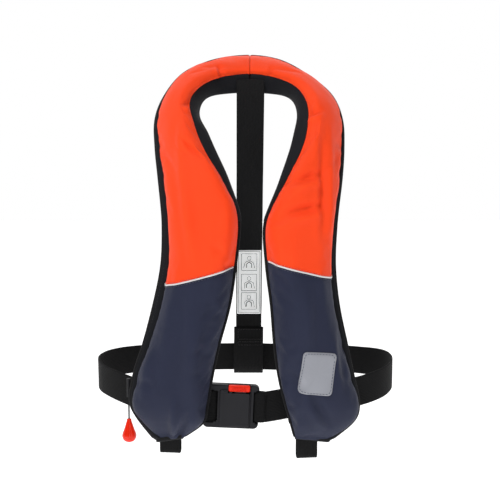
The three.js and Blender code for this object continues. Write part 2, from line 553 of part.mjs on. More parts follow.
const CORD = { x: -195, y: -129, mouth: -490, top: -464, pivot: -492, toggle: -527 };
const upperLength = CORD.top - CORD.pivot - 0.8 - 2 * CORD_RADIUS;
const lowerLength = CORD.pivot - CORD.toggle - 1.1 - 2 * CORD_RADIUS;
const upperCord = new THREE.CapsuleGeometry(CORD_RADIUS, upperLength, 4, 10);
const lowerCord = new THREE.CapsuleGeometry(CORD_RADIUS, lowerLength, 4, 10);
upperCord.rotateX(Math.PI / 2).translate(CORD.x, CORD.y, (CORD.top + CORD.pivot + 0.8) / 2);
lowerCord.rotateX(Math.PI / 2).translate(CORD.x, CORD.y, (CORD.pivot + CORD.toggle - 0.5) / 2);
add('pull_cord_upper', upperCord, BLACK);
add('pull_cord_lower', lowerCord, BLACK);
const sleeve = cut(rod(3, CORD.mouth, CORD.top + 4), rod(1.9, CORD.mouth - 1, CORD.top + 2));
add('cord_sleeve', sleeve.translate(CORD.x, CORD.y, 0), BLACK);
const TOGGLE = { radius: 11.5, height: 37.5 };
const drop = new THREE.SplineCurve([
  [3, 0], [4.6, -5], [7.8, -15], [TOGGLE.radius, -27], [8.6, -34.3], [4, -37.1], [0, -TOGGLE.height],
].map(([r, z]) => new THREE.Vector2(r, z))).getPoints(9);
add('pull_toggle', turned([...drop.reverse().map((p) => [Math.max(p.x, 0), p.y]), [0, 0]])
  .translate(CORD.x, CORD.y, CORD.toggle), 0xf03a1c, 0.35);

// ---- oral tube, whistle and light, in the lobe at +X -----------------------------------------------

const left = lobeGroup(LAST - 5, -1);
// Here x runs inwards, so pieces sit at negative x from the inner edge: -u across, v out, z up the lobe.
const TUBE = { u: -50, v: 24, radius: 7.5, hole: 5.5 };
add('oral_tube', round([
  [TUBE.u + 4, TUBE.v, -96], [TUBE.u + 1, TUBE.v, -60], [TUBE.u, TUBE.v, -20], [TUBE.u, TUBE.v, 30],
], TUBE.radius, 6, 6, TUBE.hole), 0xf0a52a, 0.5, 0, left);
add('oral_valve', turned([
  [0, 14], [3, 14], [3, 27], [4.8, 27.6], [4.8, 31], [0, 31],
], 20).translate(TUBE.u, TUBE.v, 0), 0xe6e6e2, 0.5, 0, left);
add('tube_cap', cut(
  turned([[0, 22], [9, 22], [9.6, 23.4], [9.6, 42.4], [8.4, 44.4], [0, 44.4]]),
  rod(8, 21, 34.4),
).translate(TUBE.u, TUBE.v, 0), 0x1c1d20, 0.5, 0, left);
add('whistle', cut(
  plate(13, 48, 3, 11, 1.5),
  box(9, 7, 22, 0, 0, 15),
  box(6, 8, 3, 0, -5, 8),
).translate(-74, 26, -22), 0xf2701d, 0.4, 0, left);
add('light_battery', plate(24, 62, 4, 20, 2).translate(-77, 22, -96), 0x23252a, 0.5, 0, left);
const lamp = turned([[0, 26], [10, 26], [10, 30], [8.5, 36], [5, 40], [0, 41.5]]).translate(-79, 20, 0);
add('light_lamp', lamp, 0xf4f2e4, 0.15, 0, left);
const cable = round([[-86, 14, -64.5], [-88, 14, -40], [-88, 14, 0], [-85, 14, 24.8]], 1.4, 12, 4);
add('light_cable', cable, BLACK, 0.6, 0, left);

export default jacket;
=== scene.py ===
"""Looks of an inflatable life jacket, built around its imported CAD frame. Metres, +Z up."""

import math

import bmesh
import bpy
import numpy as np
from mathutils import Matrix, Vector, noise
from mathutils.bvhtree import BVHTree


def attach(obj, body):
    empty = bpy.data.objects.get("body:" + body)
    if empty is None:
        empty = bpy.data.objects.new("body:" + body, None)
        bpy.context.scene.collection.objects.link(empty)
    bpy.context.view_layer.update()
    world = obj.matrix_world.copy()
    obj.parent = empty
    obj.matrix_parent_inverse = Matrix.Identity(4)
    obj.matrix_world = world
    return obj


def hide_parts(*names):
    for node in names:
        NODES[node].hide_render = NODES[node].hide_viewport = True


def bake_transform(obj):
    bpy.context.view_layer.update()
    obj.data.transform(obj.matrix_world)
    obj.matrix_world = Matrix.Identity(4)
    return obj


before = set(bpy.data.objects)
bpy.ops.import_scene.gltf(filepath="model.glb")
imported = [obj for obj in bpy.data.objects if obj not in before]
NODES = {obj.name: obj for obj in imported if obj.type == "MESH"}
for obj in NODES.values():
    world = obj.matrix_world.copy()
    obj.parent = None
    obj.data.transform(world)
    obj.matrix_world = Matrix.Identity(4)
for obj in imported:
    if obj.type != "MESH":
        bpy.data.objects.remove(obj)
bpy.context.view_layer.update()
SCENE = bpy.context.scene
MM = 0.001

# ---------------------------------------------------------------- camera, floor and light

CAMERA_PITCH = 6
CAMERA_DISTANCE = 1.43
CAMERA_TARGET = Vector((0, -0.050, -0.261))
CAMERA_LENS = 61.56
SENSOR_WIDTH = 36
DIM_WALL = 0.16  # how bright the room is in front of the object, against 1 behind it
STUDIO_MIDDLE = (0, -0.05, -0.25)
FLOOR_LEVEL = -0.86
FLOOR_HALF = 9


def make_camera():
    data = bpy.data.cameras.new("camera")
    data.lens = CAMERA_LENS
    data.sensor_width = SENSOR_WIDTH
    camera = bpy.data.objects.new("camera", data)
    pitch = math.radians(CAMERA_PITCH)
    camera.location = CAMERA_TARGET + CAMERA_DISTANCE * Vector((0, -math.cos(pitch), math.sin(pitch)))
    camera.rotation_euler = (math.pi / 2 - pitch, 0, 0)
    SCENE.collection.objects.link(camera)
    SCENE.camera = camera


def area_light(name, location, target, size, power):
    data = bpy.data.lights.new(name, "AREA")
    data.size = size
    data.energy = power
    light = bpy.data.objects.new(name, data)
    light.location = location
    light.rotation_euler = (Vector(target) - Vector(location)).to_track_quat("-Z", "Y").to_euler()
    SCENE.collection.objects.link(light)


def make_studio():
    SCENE.view_settings.view_transform = "Standard"
    world = bpy.data.worlds.new("studio")
    world.use_nodes = True
    tree = world.node_tree
    background = tree.nodes["Background"]
    background.inputs["Color"].default_value = (1, 1, 1, 1)
    way = tree.nodes.new("ShaderNodeTexCoord")
    parts = tree.nodes.new("ShaderNodeSeparateXYZ")
    shade = tree.nodes.new("ShaderNodeMapRange")
    shade.interpolation_type = "SMOOTHSTEP"
    for name, value in (("From Min", -0.3), ("From Max", 0.85), ("To Min", DIM_WALL), ("To Max", 1.0)):
        shade.inputs[name].default_value = value
    tree.links.new(way.outputs["Generated"], parts.inputs[0])
    tree.links.new(parts.outputs["Y"], shade.inputs["Value"])
    tree.links.new(shade.outputs["Result"], background.inputs["Strength"])
    SCENE.world = world
    area_light("key", (-0.9, -1.5, 2.1), STUDIO_MIDDLE, 0.45, 46)
    area_light("fill", (0.9, -2.3, -0.1), STUDIO_MIDDLE, 1.2, 5)
    area_light("rim", (0.4, 2.0, 1.4), STUDIO_MIDDLE, 1.4, 8)
    floor_mesh = bpy.data.meshes.new("floor")
    corners = [(x * FLOOR_HALF, y * FLOOR_HALF, FLOOR_LEVEL) for x, y in ((-1, -1), (1, -1), (1, 1), (-1, 1))]
    floor_mesh.from_pydata(corners, [], [(0, 1, 2, 3)])
    floor = bpy.data.objects.new("floor", floor_mesh)
    SCENE.collection.objects.link(floor)
    floor_mesh.materials.append(plain_floor())


# ---------------------------------------------------------------- materials

def linear(red, green, blue):
    """An sRGB colour, 0 to 255, as linear RGBA."""
    def one(c):
        c /= 255
        return c / 12.92 if c <= 0.04045 else ((c + 0.055) / 1.055) ** 2.4
    return (one(red), one(green), one(blue), 1)


def scaled(colour, by):
    return (*[min(1, c * by) for c in colour[:3]], 1)


class Shader:
    """A material under construction: nodes are added by type, and sockets are linked or set by name."""

    def __init__(self, name, **settings):
        self.material = bpy.data.materials.new(name)
        self.material.use_nodes = True
        self.tree = self.material.node_tree
        self.surface = self.tree.nodes["Principled BSDF"]
        self.set(self.surface, settings)

    def set(self, node, inputs):
        for key, value in inputs.items():
            socket = node.inputs[key if isinstance(key, int) else key.replace("_", " ")]
            if isinstance(value, bpy.types.NodeSocket):
                self.tree.links.new(value, socket)
            else:
                socket.default_value = value

    def add(self, kind, inputs=None, **properties):
        node = self.tree.nodes.new("ShaderNode" + kind)
        for key, value in properties.items():
            setattr(node, key, value)
        self.set(node, inputs or {})
        return node

    def math(self, operation, a, b=0.0, clamp=False):
        return self.add("Math", {0: a, 1: b}, operation=operation, use_clamp=clamp).outputs[0]

    def mix(self, factor, a, b):
        node = self.add("Mix", data_type="RGBA")
        self.set(node, {0: factor, 6: a, 7: b})
        return node.outputs[2]

    def object_space(self):
        return self.add("TexCoord").outputs["Object"]

    def cloth_space(self):
        return self.add("UVMap", uv_map="cloth").outputs["UV"]

    def bands(self, space, axis, pitch):
        """Ridges of a pitch in metres, 0 to 1."""
        wave = self.add("TexWave", {"Vector": space, "Scale": math.pi / 10 / pitch}, bands_direction=axis)
        return wave.outputs["Fac"]

    def noise(self, space, scale, detail=2.0):
        return self.add("TexNoise", {"Vector": space, "Scale": scale, "Detail": detail}).outputs["Fac"]

    def bump(self, height, strength, depth, before=None):
        inputs = {"Height": height, "Strength": strength, "Distance": depth}
        if before is not None:
            inputs["Normal"] = before
        return self.add("Bump", inputs).outputs["Normal"]

    def finish(self, **links):
        self.set(self.surface, links)
        return self.material


def painted_edge_light(shader, colour, amount):
    """The colour, painted lighter on raised edges as a painted highlight and darker in hollows as painted
    shade.
    """
    edges = shader.add("NewGeometry").outputs["Pointiness"]
    spread = {"Value": edges, "From_Min": 0.47, "From_Max": 0.54, "To_Min": 0.0, "To_Max": 1.0}
    raised = shader.add("MapRange", spread).outputs[0]
    share = shader.math("MULTIPLY", raised, amount)
    return shader.mix(share, colour, scaled_socket(shader, colour, 1.5))


def scaled_socket(shader, colour, by):
    node = shader.add("Mix", data_type="RGBA", blend_type="MULTIPLY")
    shader.set(node, {0: 1.0, 6: colour, 7: (by, by, by, 1)})
    return node.outputs[2]


def woven_cloth(name, colour, pitch=0.0011, weave=0.35, variation=0.07, roughness=0.62, sheen=0.04,
                gloss=0.16):
    """Coated nylon cloth: a plain weave, faint mottling and raised folds painted lighter as a painted
    highlight.
    """
    s = Shader(name, Roughness=roughness, Sheen_Weight=sheen, Sheen_Roughness=0.4, Specular_IOR_Level=gloss)
    space = s.cloth_space()
    warp = s.bands(space, "X", pitch)
    weft = s.bands(space, "Y", pitch)
    threads = s.math("MAXIMUM", warp, weft)
    rib = s.bands(space, "Y", pitch * 5)
    mottle = s.noise(space, 26, 4)
    fibre = s.noise(space, 900, 2)
    dark, light = scaled(colour, 1 - variation), scaled(colour, 1 + variation)
    base = s.mix(mottle, dark, light)
    shade = s.math("ADD", s.math("MULTIPLY", threads, 0.10), 0.93)
    toned = s.add("Mix", data_type="RGBA", blend_type="MULTIPLY")
    s.set(toned, {0: 1.0, 6: base, 7: shade})
    height = s.math("ADD", s.math("ADD", threads, s.math("MULTIPLY", fibre, 0.5)),
                    s.math("MULTIPLY", rib, 0.25))
    normal = s.bump(height, weave, 0.0004)
    # Raised folds painted lighter and hollows darker: painted highlight and painted shade.
    return s.finish(Base_Color=painted_edge_light(s, toned.outputs[2], 0.25), Normal=normal)


def webbing_cloth(name, colour, rib=0.0026):
    """Narrow woven webbing: ribs along its length crossed by fine picks, fuzzy at the edges."""
    s = Shader(name, Roughness=0.72, Sheen_Weight=0.03, Sheen_Roughness=0.5, Specular_IOR_Level=0.12)
    space = s.cloth_space()
    ribs = s.bands(space, "X", rib)
    picks = s.bands(space, "Y", 0.0016)
    slant = s.bands(space, "DIAGONAL", 0.0032)
    crossing = s.math("ADD", s.math("MULTIPLY", picks, 0.5), s.math("MULTIPLY", slant, 0.35))
    height = s.math("ADD", s.math("MULTIPLY", ribs, 0.9), crossing)
    dust = s.noise(space, 60, 4)
    base = s.mix(s.math("MULTIPLY", height, 0.5, clamp=True), scaled(colour, 0.6), scaled(colour, 1.35))
    base = s.mix(s.math("MULTIPLY", dust, 0.35), base, scaled(colour, 1.8))
    normal = s.bump(height, 0.55, 0.0005)
    normal = s.bump(s.noise(space, 1400, 2), 0.3, 0.0002, normal)
    return s.finish(Base_Color=base, Normal=normal)


def mesh_cloth(name, colour):
    """Spacer mesh of the lining: small round holes in rows over a soft knit."""
    s = Shader(name, Roughness=0.82, Sheen_Weight=0.05, Sheen_Roughness=0.5, Specular_IOR_Level=0.12)
    space = s.cloth_space()
    cells = s.add("TexVoronoi", {"Vector": space, "Scale": 330, "Randomness": 0.12}).outputs["Distance"]
    hole = s.add("MapRange", {"Value": cells, "From_Min": 0.16, "From_Max": 0.42}).outputs[0]
    knit = s.bands(space, "DIAGONAL", 0.0013)
    lint = s.noise(space, 45, 5)
    base = s.mix(hole, scaled(colour, 0.35), colour)
    base = s.mix(s.math("MULTIPLY", lint, 0.3), base, scaled(colour, 1.9))
    height = s.math("ADD", hole, s.math("MULTIPLY", knit, 0.3))
    return s.finish(Base_Color=base, Normal=s.bump(height, 0.5, 0.0006))


def moulded(name, colour, roughness=0.42, grain=0.25, coat=0.0, scale=1500, gloss=0.3):
    """Moulded plastic: a fine spark-eroded grain, flow marks and raised edges painted lighter as a painted
    highlight.
    """
    s = Shader(name, Specular_IOR_Level=gloss, Coat_Weight=coat, Coat_Roughness=0.12)
    space = s.object_space()
    pits = s.noise(space, scale, 3)
    flow = s.noise(space, 40, 3)
    rough = s.add("MapRange",
                  {"Value": flow, "To_Min": roughness - 0.06, "To_Max": roughness + 0.08}).outputs[0]
    base = s.mix(flow, scaled(colour, 0.93), scaled(colour, 1.07))
    # Raised edges painted lighter and hollows darker: painted highlight and painted shade.
    return s.finish(Base_Color=painted_edge_light(s, base, 0.3), Roughness=rough, Normal=s.bump(pits, grain, 0.00015))


def brushed(name, colour, roughness=0.3):
    """Drawn or brushed steel: fine lines and a cloudy zinc bloom."""
    s = Shader(name, Metallic=1.0)
    space = s.object_space()
    stretched = s.add("Mapping", {"Vector": space, "Scale": (900, 900, 40)}).outputs[0]
    lines = s.noise(stretched, 1.0, 3)
    bloom = s.noise(space, 55, 4)
    rough = s.add("MapRange",
                  {"Value": lines, "To_Min": roughness - 0.08, "To_Max": roughness + 0.15}).outputs[0]
    base = s.mix(bloom, scaled(colour, 0.82), colour)
    return s.finish(Base_Color=base, Roughness=rough, Normal=s.bump(lines, 0.15, 0.0001))


def beaded(name, colour, painted_glow=0.0):
    """Retroreflective film: a grey metallic ground under tiny glass beads, with an emission glow, painted
    light, where one is given.
    """
    s = Shader(name, Metallic=0.08, Specular_IOR_Level=0.45, Emission_Color=colour,
               Emission_Strength=painted_glow)
    space = s.cloth_space()
    beads = s.add("TexVoronoi", {"Vector": space, "Scale": 1800}).outputs["Distance"]
    scuffs = s.noise(space, 120, 4)
    rough = s.add("MapRange", {"Value": scuffs, "To_Min": 0.3, "To_Max": 0.5}).outputs[0]
    base = s.mix(s.math("MULTIPLY", scuffs, 0.4), colour, scaled(colour, 0.8))
    return s.finish(Base_Color=base, Roughness=rough, Normal=s.bump(beads, 0.25, 0.0002))


def looped_pile(name, colour):
    """Hook and loop tape: a dense short pile."""
    s = Shader(name, Roughness=0.9, Sheen_Weight=0.1, Sheen_Roughness=0.6, Specular_IOR_Level=0.15)
    space = s.object_space()
    pile = s.add("TexVoronoi", {"Vector": space, "Scale": 900}).outputs["Distance"]
    base = s.mix(pile, scaled(colour, 0.5), scaled(colour, 1.6))
    return s.finish(Base_Color=base, Normal=s.bump(pile, 0.7, 0.0006))


def thread(name, colour):
    """Twisted sewing thread."""
    s = Shader(name, Roughness=0.6, Sheen_Weight=0.3)
    twist = s.add("TexWave", {"Vector": s.object_space(), "Scale": 700},
                  bands_direction="DIAGONAL").outputs["Fac"]
    base = s.mix(twist, scaled(colour, 0.7), colour)
    return s.finish(Base_Color=base, Normal=s.bump(twist, 0.4, 0.0002))


def plain_floor():
    """The studio floor, pale and faintly mottled."""
    s = Shader("pale_floor", Roughness=0.85, Specular_IOR_Level=0.1, Emission_Color=(1, 1, 1, 1),
               Emission_Strength=0.62)
    grain = s.noise(s.object_space(), 6, 3)
    return s.finish(Base_Color=s.mix(grain, (0.93, 0.93, 0.93, 1), (0.96, 0.96, 0.96, 1)))


ORANGE = woven_cloth("orange_cloth", linear(254, 71, 25), variation=0.05)
NAVY = woven_cloth("navy_cloth", linear(38, 42, 62), variation=0.10, roughness=0.6)
LINING = mesh_cloth("lining_mesh", linear(25, 25, 27))
TAPE = webbing_cloth("edge_tape", linear(25, 25, 27), rib=0.0018)
GUSSET = woven_cloth("gusset_cloth", linear(23, 24, 28), variation=0.12, roughness=0.7, gloss=0.12)
WEBBING = webbing_cloth("webbing", linear(23, 23, 24))
# The belt's webbing is the strap's black webbing given a darker colour: painted shade against the extra light
# its sides catch.
SHADED_WEBBING = webbing_cloth("webbing_painted_darker", linear(14, 14, 15))
REFLECTIVE = beaded("reflective_film", linear(226, 226, 226))
# The label film is near white, as the label is, lifted further and made to glow: painted light for the shade
# it sits in behind the lobes.
LABEL = beaded("label_film", linear(246, 248, 248), painted_glow=0.28)
PATCH_FILM = beaded("patch_film", linear(150, 152, 160))
PILE = looped_pile("hook_and_loop", linear(32, 32, 34))
PRINT = moulded("label_ink", linear(52, 54, 58), roughness=0.5, grain=0.1)
BUCKLE_PLASTIC = moulded("buckle_plastic", linear(26, 26, 30), roughness=0.45, gloss=0.2)
BLACK_PLASTIC = moulded("black_plastic", linear(28, 28, 31), roughness=0.45, gloss=0.2)
RED_PLASTIC = moulded("red_plastic", linear(228, 38, 10), roughness=0.4, grain=0.12, gloss=0.2)
TOGGLE_PLASTIC = moulded("toggle_plastic", linear(230, 38, 8), roughness=0.25, grain=0.04, coat=0.2,
                         scale=300, gloss=0.25)
YELLOW_PLASTIC = moulded("yellow_plastic", linear(236, 196, 40))
WHITE_PLASTIC = moulded("white_plastic", linear(238, 238, 232))
WHISTLE_PLASTIC = moulded("whistle_plastic", linear(240, 112, 30), roughness=0.3)
LENS_PLASTIC = moulded("lens_plastic", linear(246, 244, 230), roughness=0.12, grain=0.03, coat=0.6)
TUBE_RUBBER = moulded("tube_rubber", linear(238, 160, 44), roughness=0.55, grain=0.4)
STEEL = brushed("spring_steel", (0.72, 0.73, 0.75, 1))
ZINC = brushed("zinc_cylinder", (0.66, 0.68, 0.71, 1), roughness=0.36)
BLADDER_CLOTH = woven_cloth("bladder_cloth", linear(244, 178, 60), pitch=0.0007, roughness=0.45)
BLACK_THREAD = thread("black_thread", linear(30, 30, 32))
ORANGE_THREAD = thread("orange_thread", linear(250, 84, 44))
NAVY_THREAD = thread("navy_thread", linear(54, 56, 82))

# ---------------------------------------------------------------- meshes

def new_piece(name, verts, faces, material, body="jacket", slot=None, uvs=None, smooth=True, replaces=(),
              outward=True):
    """A mesh object with one material, riding on a body unless body is None."""
    mesh = bpy.data.meshes.new(name)
    mesh.from_pydata([tuple(v) for v in verts], [], [tuple(f) for f in faces])
    if uvs is not None:
        layer = mesh.uv_layers.new(name="cloth")
        layer.data.foreach_set("uv", np.asarray(uvs, np.float32).ravel())
    if outward:
        bm = bmesh.new()
        bm.from_mesh(mesh)
        bmesh.ops.recalc_face_normals(bm, faces=bm.faces)
        bm.to_mesh(mesh)
        bm.free()
    mesh.polygons.foreach_set("use_smooth", [smooth] * len(mesh.polygons))
    mesh.materials.append(material)
    obj = bpy.data.objects.new(name, mesh)
    SCENE.collection.objects.link(obj)
    if body:
        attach(obj, body)
    if replaces:
        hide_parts(*replaces)
    return obj


def lengths(points):
    """Running length along the first axis of an array of points."""
    steps = np.linalg.norm(np.diff(points, axis=0), axis=-1)
    return np.concatenate([[0], np.cumsum(steps)])


def grid_faces(points, ring, caps):
    """Faces and UVs, in metres, of an array of points (rows, columns, 3)."""
    rows, columns = points.shape[:2]
    along = lengths(points.mean(axis=1))
    loop = np.concatenate([points, points[:, :1]], axis=1) if ring else points
    across = lengths(loop[rows // 2])
    faces, uvs = [], []
    for i in range(rows - 1):
        for j in range(loop.shape[1] - 1):
            k = (j + 1) % columns
            faces.append((i * columns + j, i * columns + k, (i + 1) * columns + k, (i + 1) * columns + j))
            near, far = across[j], across[j + 1]
            uvs += [(near, along[i]), (far, along[i]), (far, along[i + 1]), (near, along[i + 1])]
    if caps:
        for start, order in ((0, 1), ((rows - 1) * columns, -1)):
            faces.append(tuple(start + j for j in range(columns))[::order])
            uvs += [(across[j], along[0]) for j in range(columns)]
    return faces, uvs


def grid_piece(name, points, material, ring=True, caps=True, **options):
    faces, uvs = grid_faces(points, ring, caps)
    return new_piece(name, points.reshape(-1, 3), faces, material, uvs=uvs, **options)


def catmull(points, t):
    """A centripetal Catmull-Rom curve through the points, at t from 0 to 1."""
    p = np.asarray(points, float)
    x = np.clip(np.asarray(t, float), 0, 1) * (len(p) - 1)
    i = np.minimum(x.astype(int), len(p) - 2)
    w = (x - i)[..., None]
    full = np.vstack([2 * p[0] - p[1], p, 2 * p[-1] - p[-2]])
    p0, p1, p2, p3 = (full[i + k] for k in range(4))

    def knot(a, b):
        return np.maximum(((a - b) ** 2).sum(-1, keepdims=True), 1e-12) ** 0.25

    d0, d1, d2 = knot(p0, p1), knot(p1, p2), knot(p2, p3)
    m1 = ((p1 - p0) / d0 - (p2 - p0) / (d0 + d1) + (p2 - p1) / d1) * d1
    m2 = ((p2 - p1) / d1 - (p3 - p1) / (d1 + d2) + (p3 - p2) / d2) * d1
    c2 = -3 * p1 + 3 * p2 - 2 * m1 - m2
    c3 = 2 * p1 - 2 * p2 + m1 + m2
    return p1 + m1 * w + c2 * w ** 2 + c3 * w ** 3


def evenly(points, count):
    """The polyline resampled to count points at equal spacing."""
    run = lengths(points)
    at = np.linspace(0, run[-1], count)
    return np.stack([np.interp(at, run, points[:, k]) for k in range(points.shape[1])], axis=1)


def route(points, step):
    """A smooth route through points in millimetres, sampled at step metres."""
    fine = catmull(np.asarray(points, float) * MM, np.linspace(0, 1, 600))
    return evenly(fine, max(4, int(lengths(fine)[-1] / step) + 1))


def directions(line):
    d = np.gradient(line, axis=0)
    return d / np.linalg.norm(d, axis=1, keepdims=True)


def band_section(width, thickness, columns=12):
    """The section of webbing: flat faces, rounded selvages a little thicker than the middle."""
    half, r = width / 2, thickness / 2
    across = np.linspace(-half + r, half - r, columns)
    top = [(x, r * (1.12 if abs(x) > half - 2.5 * MM else 1.0)) for x in across]
    end = [(half - r + r * math.cos(a), r * math.sin(a)) for a in (math.pi / 4, 0, -math.pi / 4)]
    return np.array(top + end + [(x, -y) for x, y in top[::-1]] + [(-x, y) for x, y in end[::-1]])


def band(name, line, width, thickness, wide, material, ripple=0.0, columns=12, **options):
    """Flat webbing along a line, its width kept along wide."""
    along = directions(line)
    across = np.broadcast_to(np.asarray(wide, float), line.shape)
    across = across - along * (across * along).sum(1, keepdims=True)
    across /= np.linalg.norm(across, axis=1, keepdims=True)
    out = np.cross(along, across)
    section = band_section(width, thickness, columns)
    points = line[:, None] + across[:, None] * section[None, :, :1] + out[:, None] * section[None, :, 1:]
    if ripple:
        for i, row in enumerate(points):
            sideways = across[i] * ripple * 0.4 * noise.noise(Vector(line[i]) * 31)
            for j, p in enumerate(row):
                row[j] = p + out[i] * ripple * noise.noise(Vector(p) * 22) + sideways
    return grid_piece(name, points, material, **options)


def tube(name, line, radius, material, sides=12, **options):
    """A round tube along a line."""
    along = directions(line)
    reference = np.array((0.0, 1.0, 0.03))
    first = np.cross(along, reference)
    first /= np.linalg.norm(first, axis=1, keepdims=True)
    second = np.cross(along, first)
    angles = np.linspace(0, 2 * math.pi, sides, endpoint=False)
    cosine, sine = np.cos(angles)[:, None], np.sin(angles)[:, None]
    rows = [p + radius * (cosine * first[i] + sine * second[i]) for i, p in enumerate(line)]
    return grid_piece(name, np.array(rows), material, **options)


def lathe(outline, sides=48, shape=None):
    """Points of a solid turned about Z, outline [radius, z]; shape(angle, z) scales the radius."""
    angles = np.linspace(0, 2 * math.pi, sides, endpoint=False)
    rows = []
    for r, z in outline:
        radii = r * np.array([shape(a, z) if shape else 1 for a in angles])
        rows.append(np.stack([radii * np.cos(angles), radii * np.sin(angles), np.full(sides, z)], axis=1))
    return np.array(rows)


def stitches(name, line, normals, material, slot, length=3.4 * MM, gap=1.5 * MM, radius=0.42 * MM):
    """A row of separate stitches lying on a surface along a line."""
    run = lengths(line)
    verts, faces = [], []
    count = int(run[-1] / (length + gap))
    along = directions(line)

    def at(values, s):
        return np.array([np.interp(s, run, values[:, k]) for k in range(3)])

    for n in range(count):
        s = n * (length + gap) + gap / 2
        normal = at(normals, s + length / 2)
        normal /= np.linalg.norm(normal)
        direction = at(along, s + length / 2)
        side = np.cross(direction, normal)
        side /= np.linalg.norm(side)
        start = len(verts)
        for share, fat, lift in ((0, 0.35, -0.2), (0.2, 1, 0.5), (0.8, 1, 0.5), (1, 0.35, -0.2)):
            centre = at(line, s + share * length) + normal * radius * lift
            for a in range(6):
                t = a * math.pi / 3
                verts.append(centre + radius * fat * (math.cos(t) * side + math.sin(t) * normal))
        for ring_index in range(3):
            for a in range(6):
                b = (a + 1) % 6
                i = start + ring_index * 6
                faces.append((i + a, i + b, i + 6 + b, i + 6 + a))
        faces.append(tuple(start + a for a in range(6)))
        faces.append(tuple(start + 18 + a for a in range(6)))
    return new_piece(name, verts, faces, material, slot=slot)


def subdivide(obj):
    modifier = obj.modifiers.new("smooth", "SUBSURF")
    modifier.levels = modifier.render_levels = 1
    return obj


# ---------------------------------------------------------------- the horseshoe

# The same sections as the frame's: inner z, outer z, inner y, outer y, height, gusset, margin,
# then inner x and outer x at -X and at +X, in millimetres.
LOBE = [
    (-548, -557, -158, -147, 18, 6, 8, 104, 142, 70, 122),
    (-522, -522, -158, -140, 33, 6, 9, 72, 171, 63, 164),
    (-495, -498, -158, -136, 43, 6, 8, 66, 184, 55, 170),
    (-448, -450, -158, -134, 46, 6, 10, 58, 176, 44, 159),
    (-398, -400, -158, -132, 47, 6, 12, 47, 158, 37, 147),
    (-338, -340, -158, -130, 47, 6, 14, 31, 140, 32, 133),
    (-273, -275, -157, -126, 47, 6, 13, 21, 128, 24, 127),
    (-213, -215, -154, -120, 47, 7, 12, 15, 127, 21, 130),
    (-186, -188, -150, -113, 47, 10, 12, 18, 129, 29, 133),
    (-143, -140, -137, -98, 46, 17, 10, 37, 137, 50, 141),
    (-104, -92, -118, -74, 45, 24, 8, 60, 146, 69, 147),
    (-68, -48, -94, -46, 44, 27, 7, 77, 150, 80, 148),
    (-39, -9, -66, -14, 43, 28, 6, 88, 140, 83, 136),
]
COLLAR = [
    (-10, 31, -27, 20, 41, 28, 6, 77, 112, 70, 95),
    (6, 58, 3, 56, 39, 28, 4, 48, 63, 42, 52),
]
NAPE = (10.6, 68, 12, 80, 37, 28, 3, 0, 0, 0, 0)
LEFT_MARGIN_SHARE = 0.6  # the left lobe shows less of its outer edge
LEAST_MARGIN = 3
LOBE_LEAN = 2  # how far the lining reaches inside the cover along the lobes, in millimetres
GUSSET_LEAN = 16  # how far it reaches inside the cover round the neck
CORNER_LEAN = 10  # how much less it reaches in at the neck hole's upper corners
NECK_CORNER = 13  # the row of those corners
HALF = LOBE + COLLAR
ROWS = [(r, -1) for r in HALF] + [(NAPE, -1)] + [(r, 1) for r in HALF[::-1]]
LAST = len(ROWS) - 1
NAPE_ROW = LAST / 2
INNER = [(side * (r[7] if side < 0 else r[9]), r[2], r[0]) for r, side in ROWS]
OUTER = [(side * (r[8] if side < 0 else r[10]), r[3], r[1]) for r, side in ROWS]
SIZES = [(r[4], r[5], r[6] if side < 0 else max(r[6] * LEFT_MARGIN_SHARE, LEAST_MARGIN)) for r, side in ROWS]
DOME_POWER = 0.6
FOOT = 5.3
LINING_DEPTH = 5.0
TIP_TAPER = 4  # how much narrower the cover is than the lining's shape at the very tips


def unit(v):
    return v / np.linalg.norm(v, axis=-1, keepdims=True)


def smoothstep(x, low, high):
    t = np.clip((x - low) / (high - low), 0, 1)
    return t * t * (3 - 2 * t)


class Sections:
    """The horseshoe's cross-sections at an array of row numbers, in millimetres."""

    def __init__(self, rows):
        self.rows = np.asarray(rows, float)
        t = self.rows / LAST
        self.inner = catmull(INNER, t)
        across = catmull(OUTER, t) - self.inner
        self.width = np.linalg.norm(across, axis=1)[:, None]
        self.across = across / self.width
        along = self.middle(np.minimum(t + 0.002, 1)) - self.middle(np.maximum(t - 0.002, 0))
        self.out = unit(np.cross(along, self.across))
        sizes = catmull(SIZES, t)
        self.height, self.gusset, self.margin = (sizes[:, k:k + 1] for k in range(3))
        from_tip = np.minimum(self.rows, LAST - self.rows)[:, None]
        corner = CORNER_LEAN * np.exp(-(from_tip - NECK_CORNER) ** 2)
        self.lean = LOBE_LEAN + (GUSSET_LEAN - LOBE_LEAN) * smoothstep(self.gusset, 10, 30) - corner
        self.fall = 0.1 + 0.5 * smoothstep(self.gusset, 7, 28)
        self.edge = self.width - TIP_TAPER * (1 - np.clip(from_tip / 1.3, 0, 1)) ** 1.5
        self.tip = from_tip

    @staticmethod
    def middle(t):
        return (catmull(INNER, t) + catmull(OUTER, t)) / 2

    def place(self, u, v):
        """Points in metres from across and out coordinates in millimetres, each (rows, columns)."""
        u, v = np.broadcast_arrays(u, v)
        flat = self.inner[:, None] + self.across[:, None] * u[..., None]
        return (flat + self.out[:, None] * v[..., None]) * MM

    def base(self, u):
        return FOOT + np.maximum(self.gusset - FOOT, 0) * (1 - u / self.width)


def rows_between(start, end, step=5.0):
    """Row numbers at equal spacing along the horseshoe, with the nape among them if it is inside."""
    fine = np.linspace(start, end, 4000)
    run = lengths(Sections.middle(fine / LAST))
    if start < NAPE_ROW < end:
        return np.concatenate([rows_between(start, NAPE_ROW, step)[:-1], rows_between(NAPE_ROW, end, step)])
    return np.interp(np.linspace(0, run[-1], max(3, int(run[-1] / step) + 1)), run, fine)


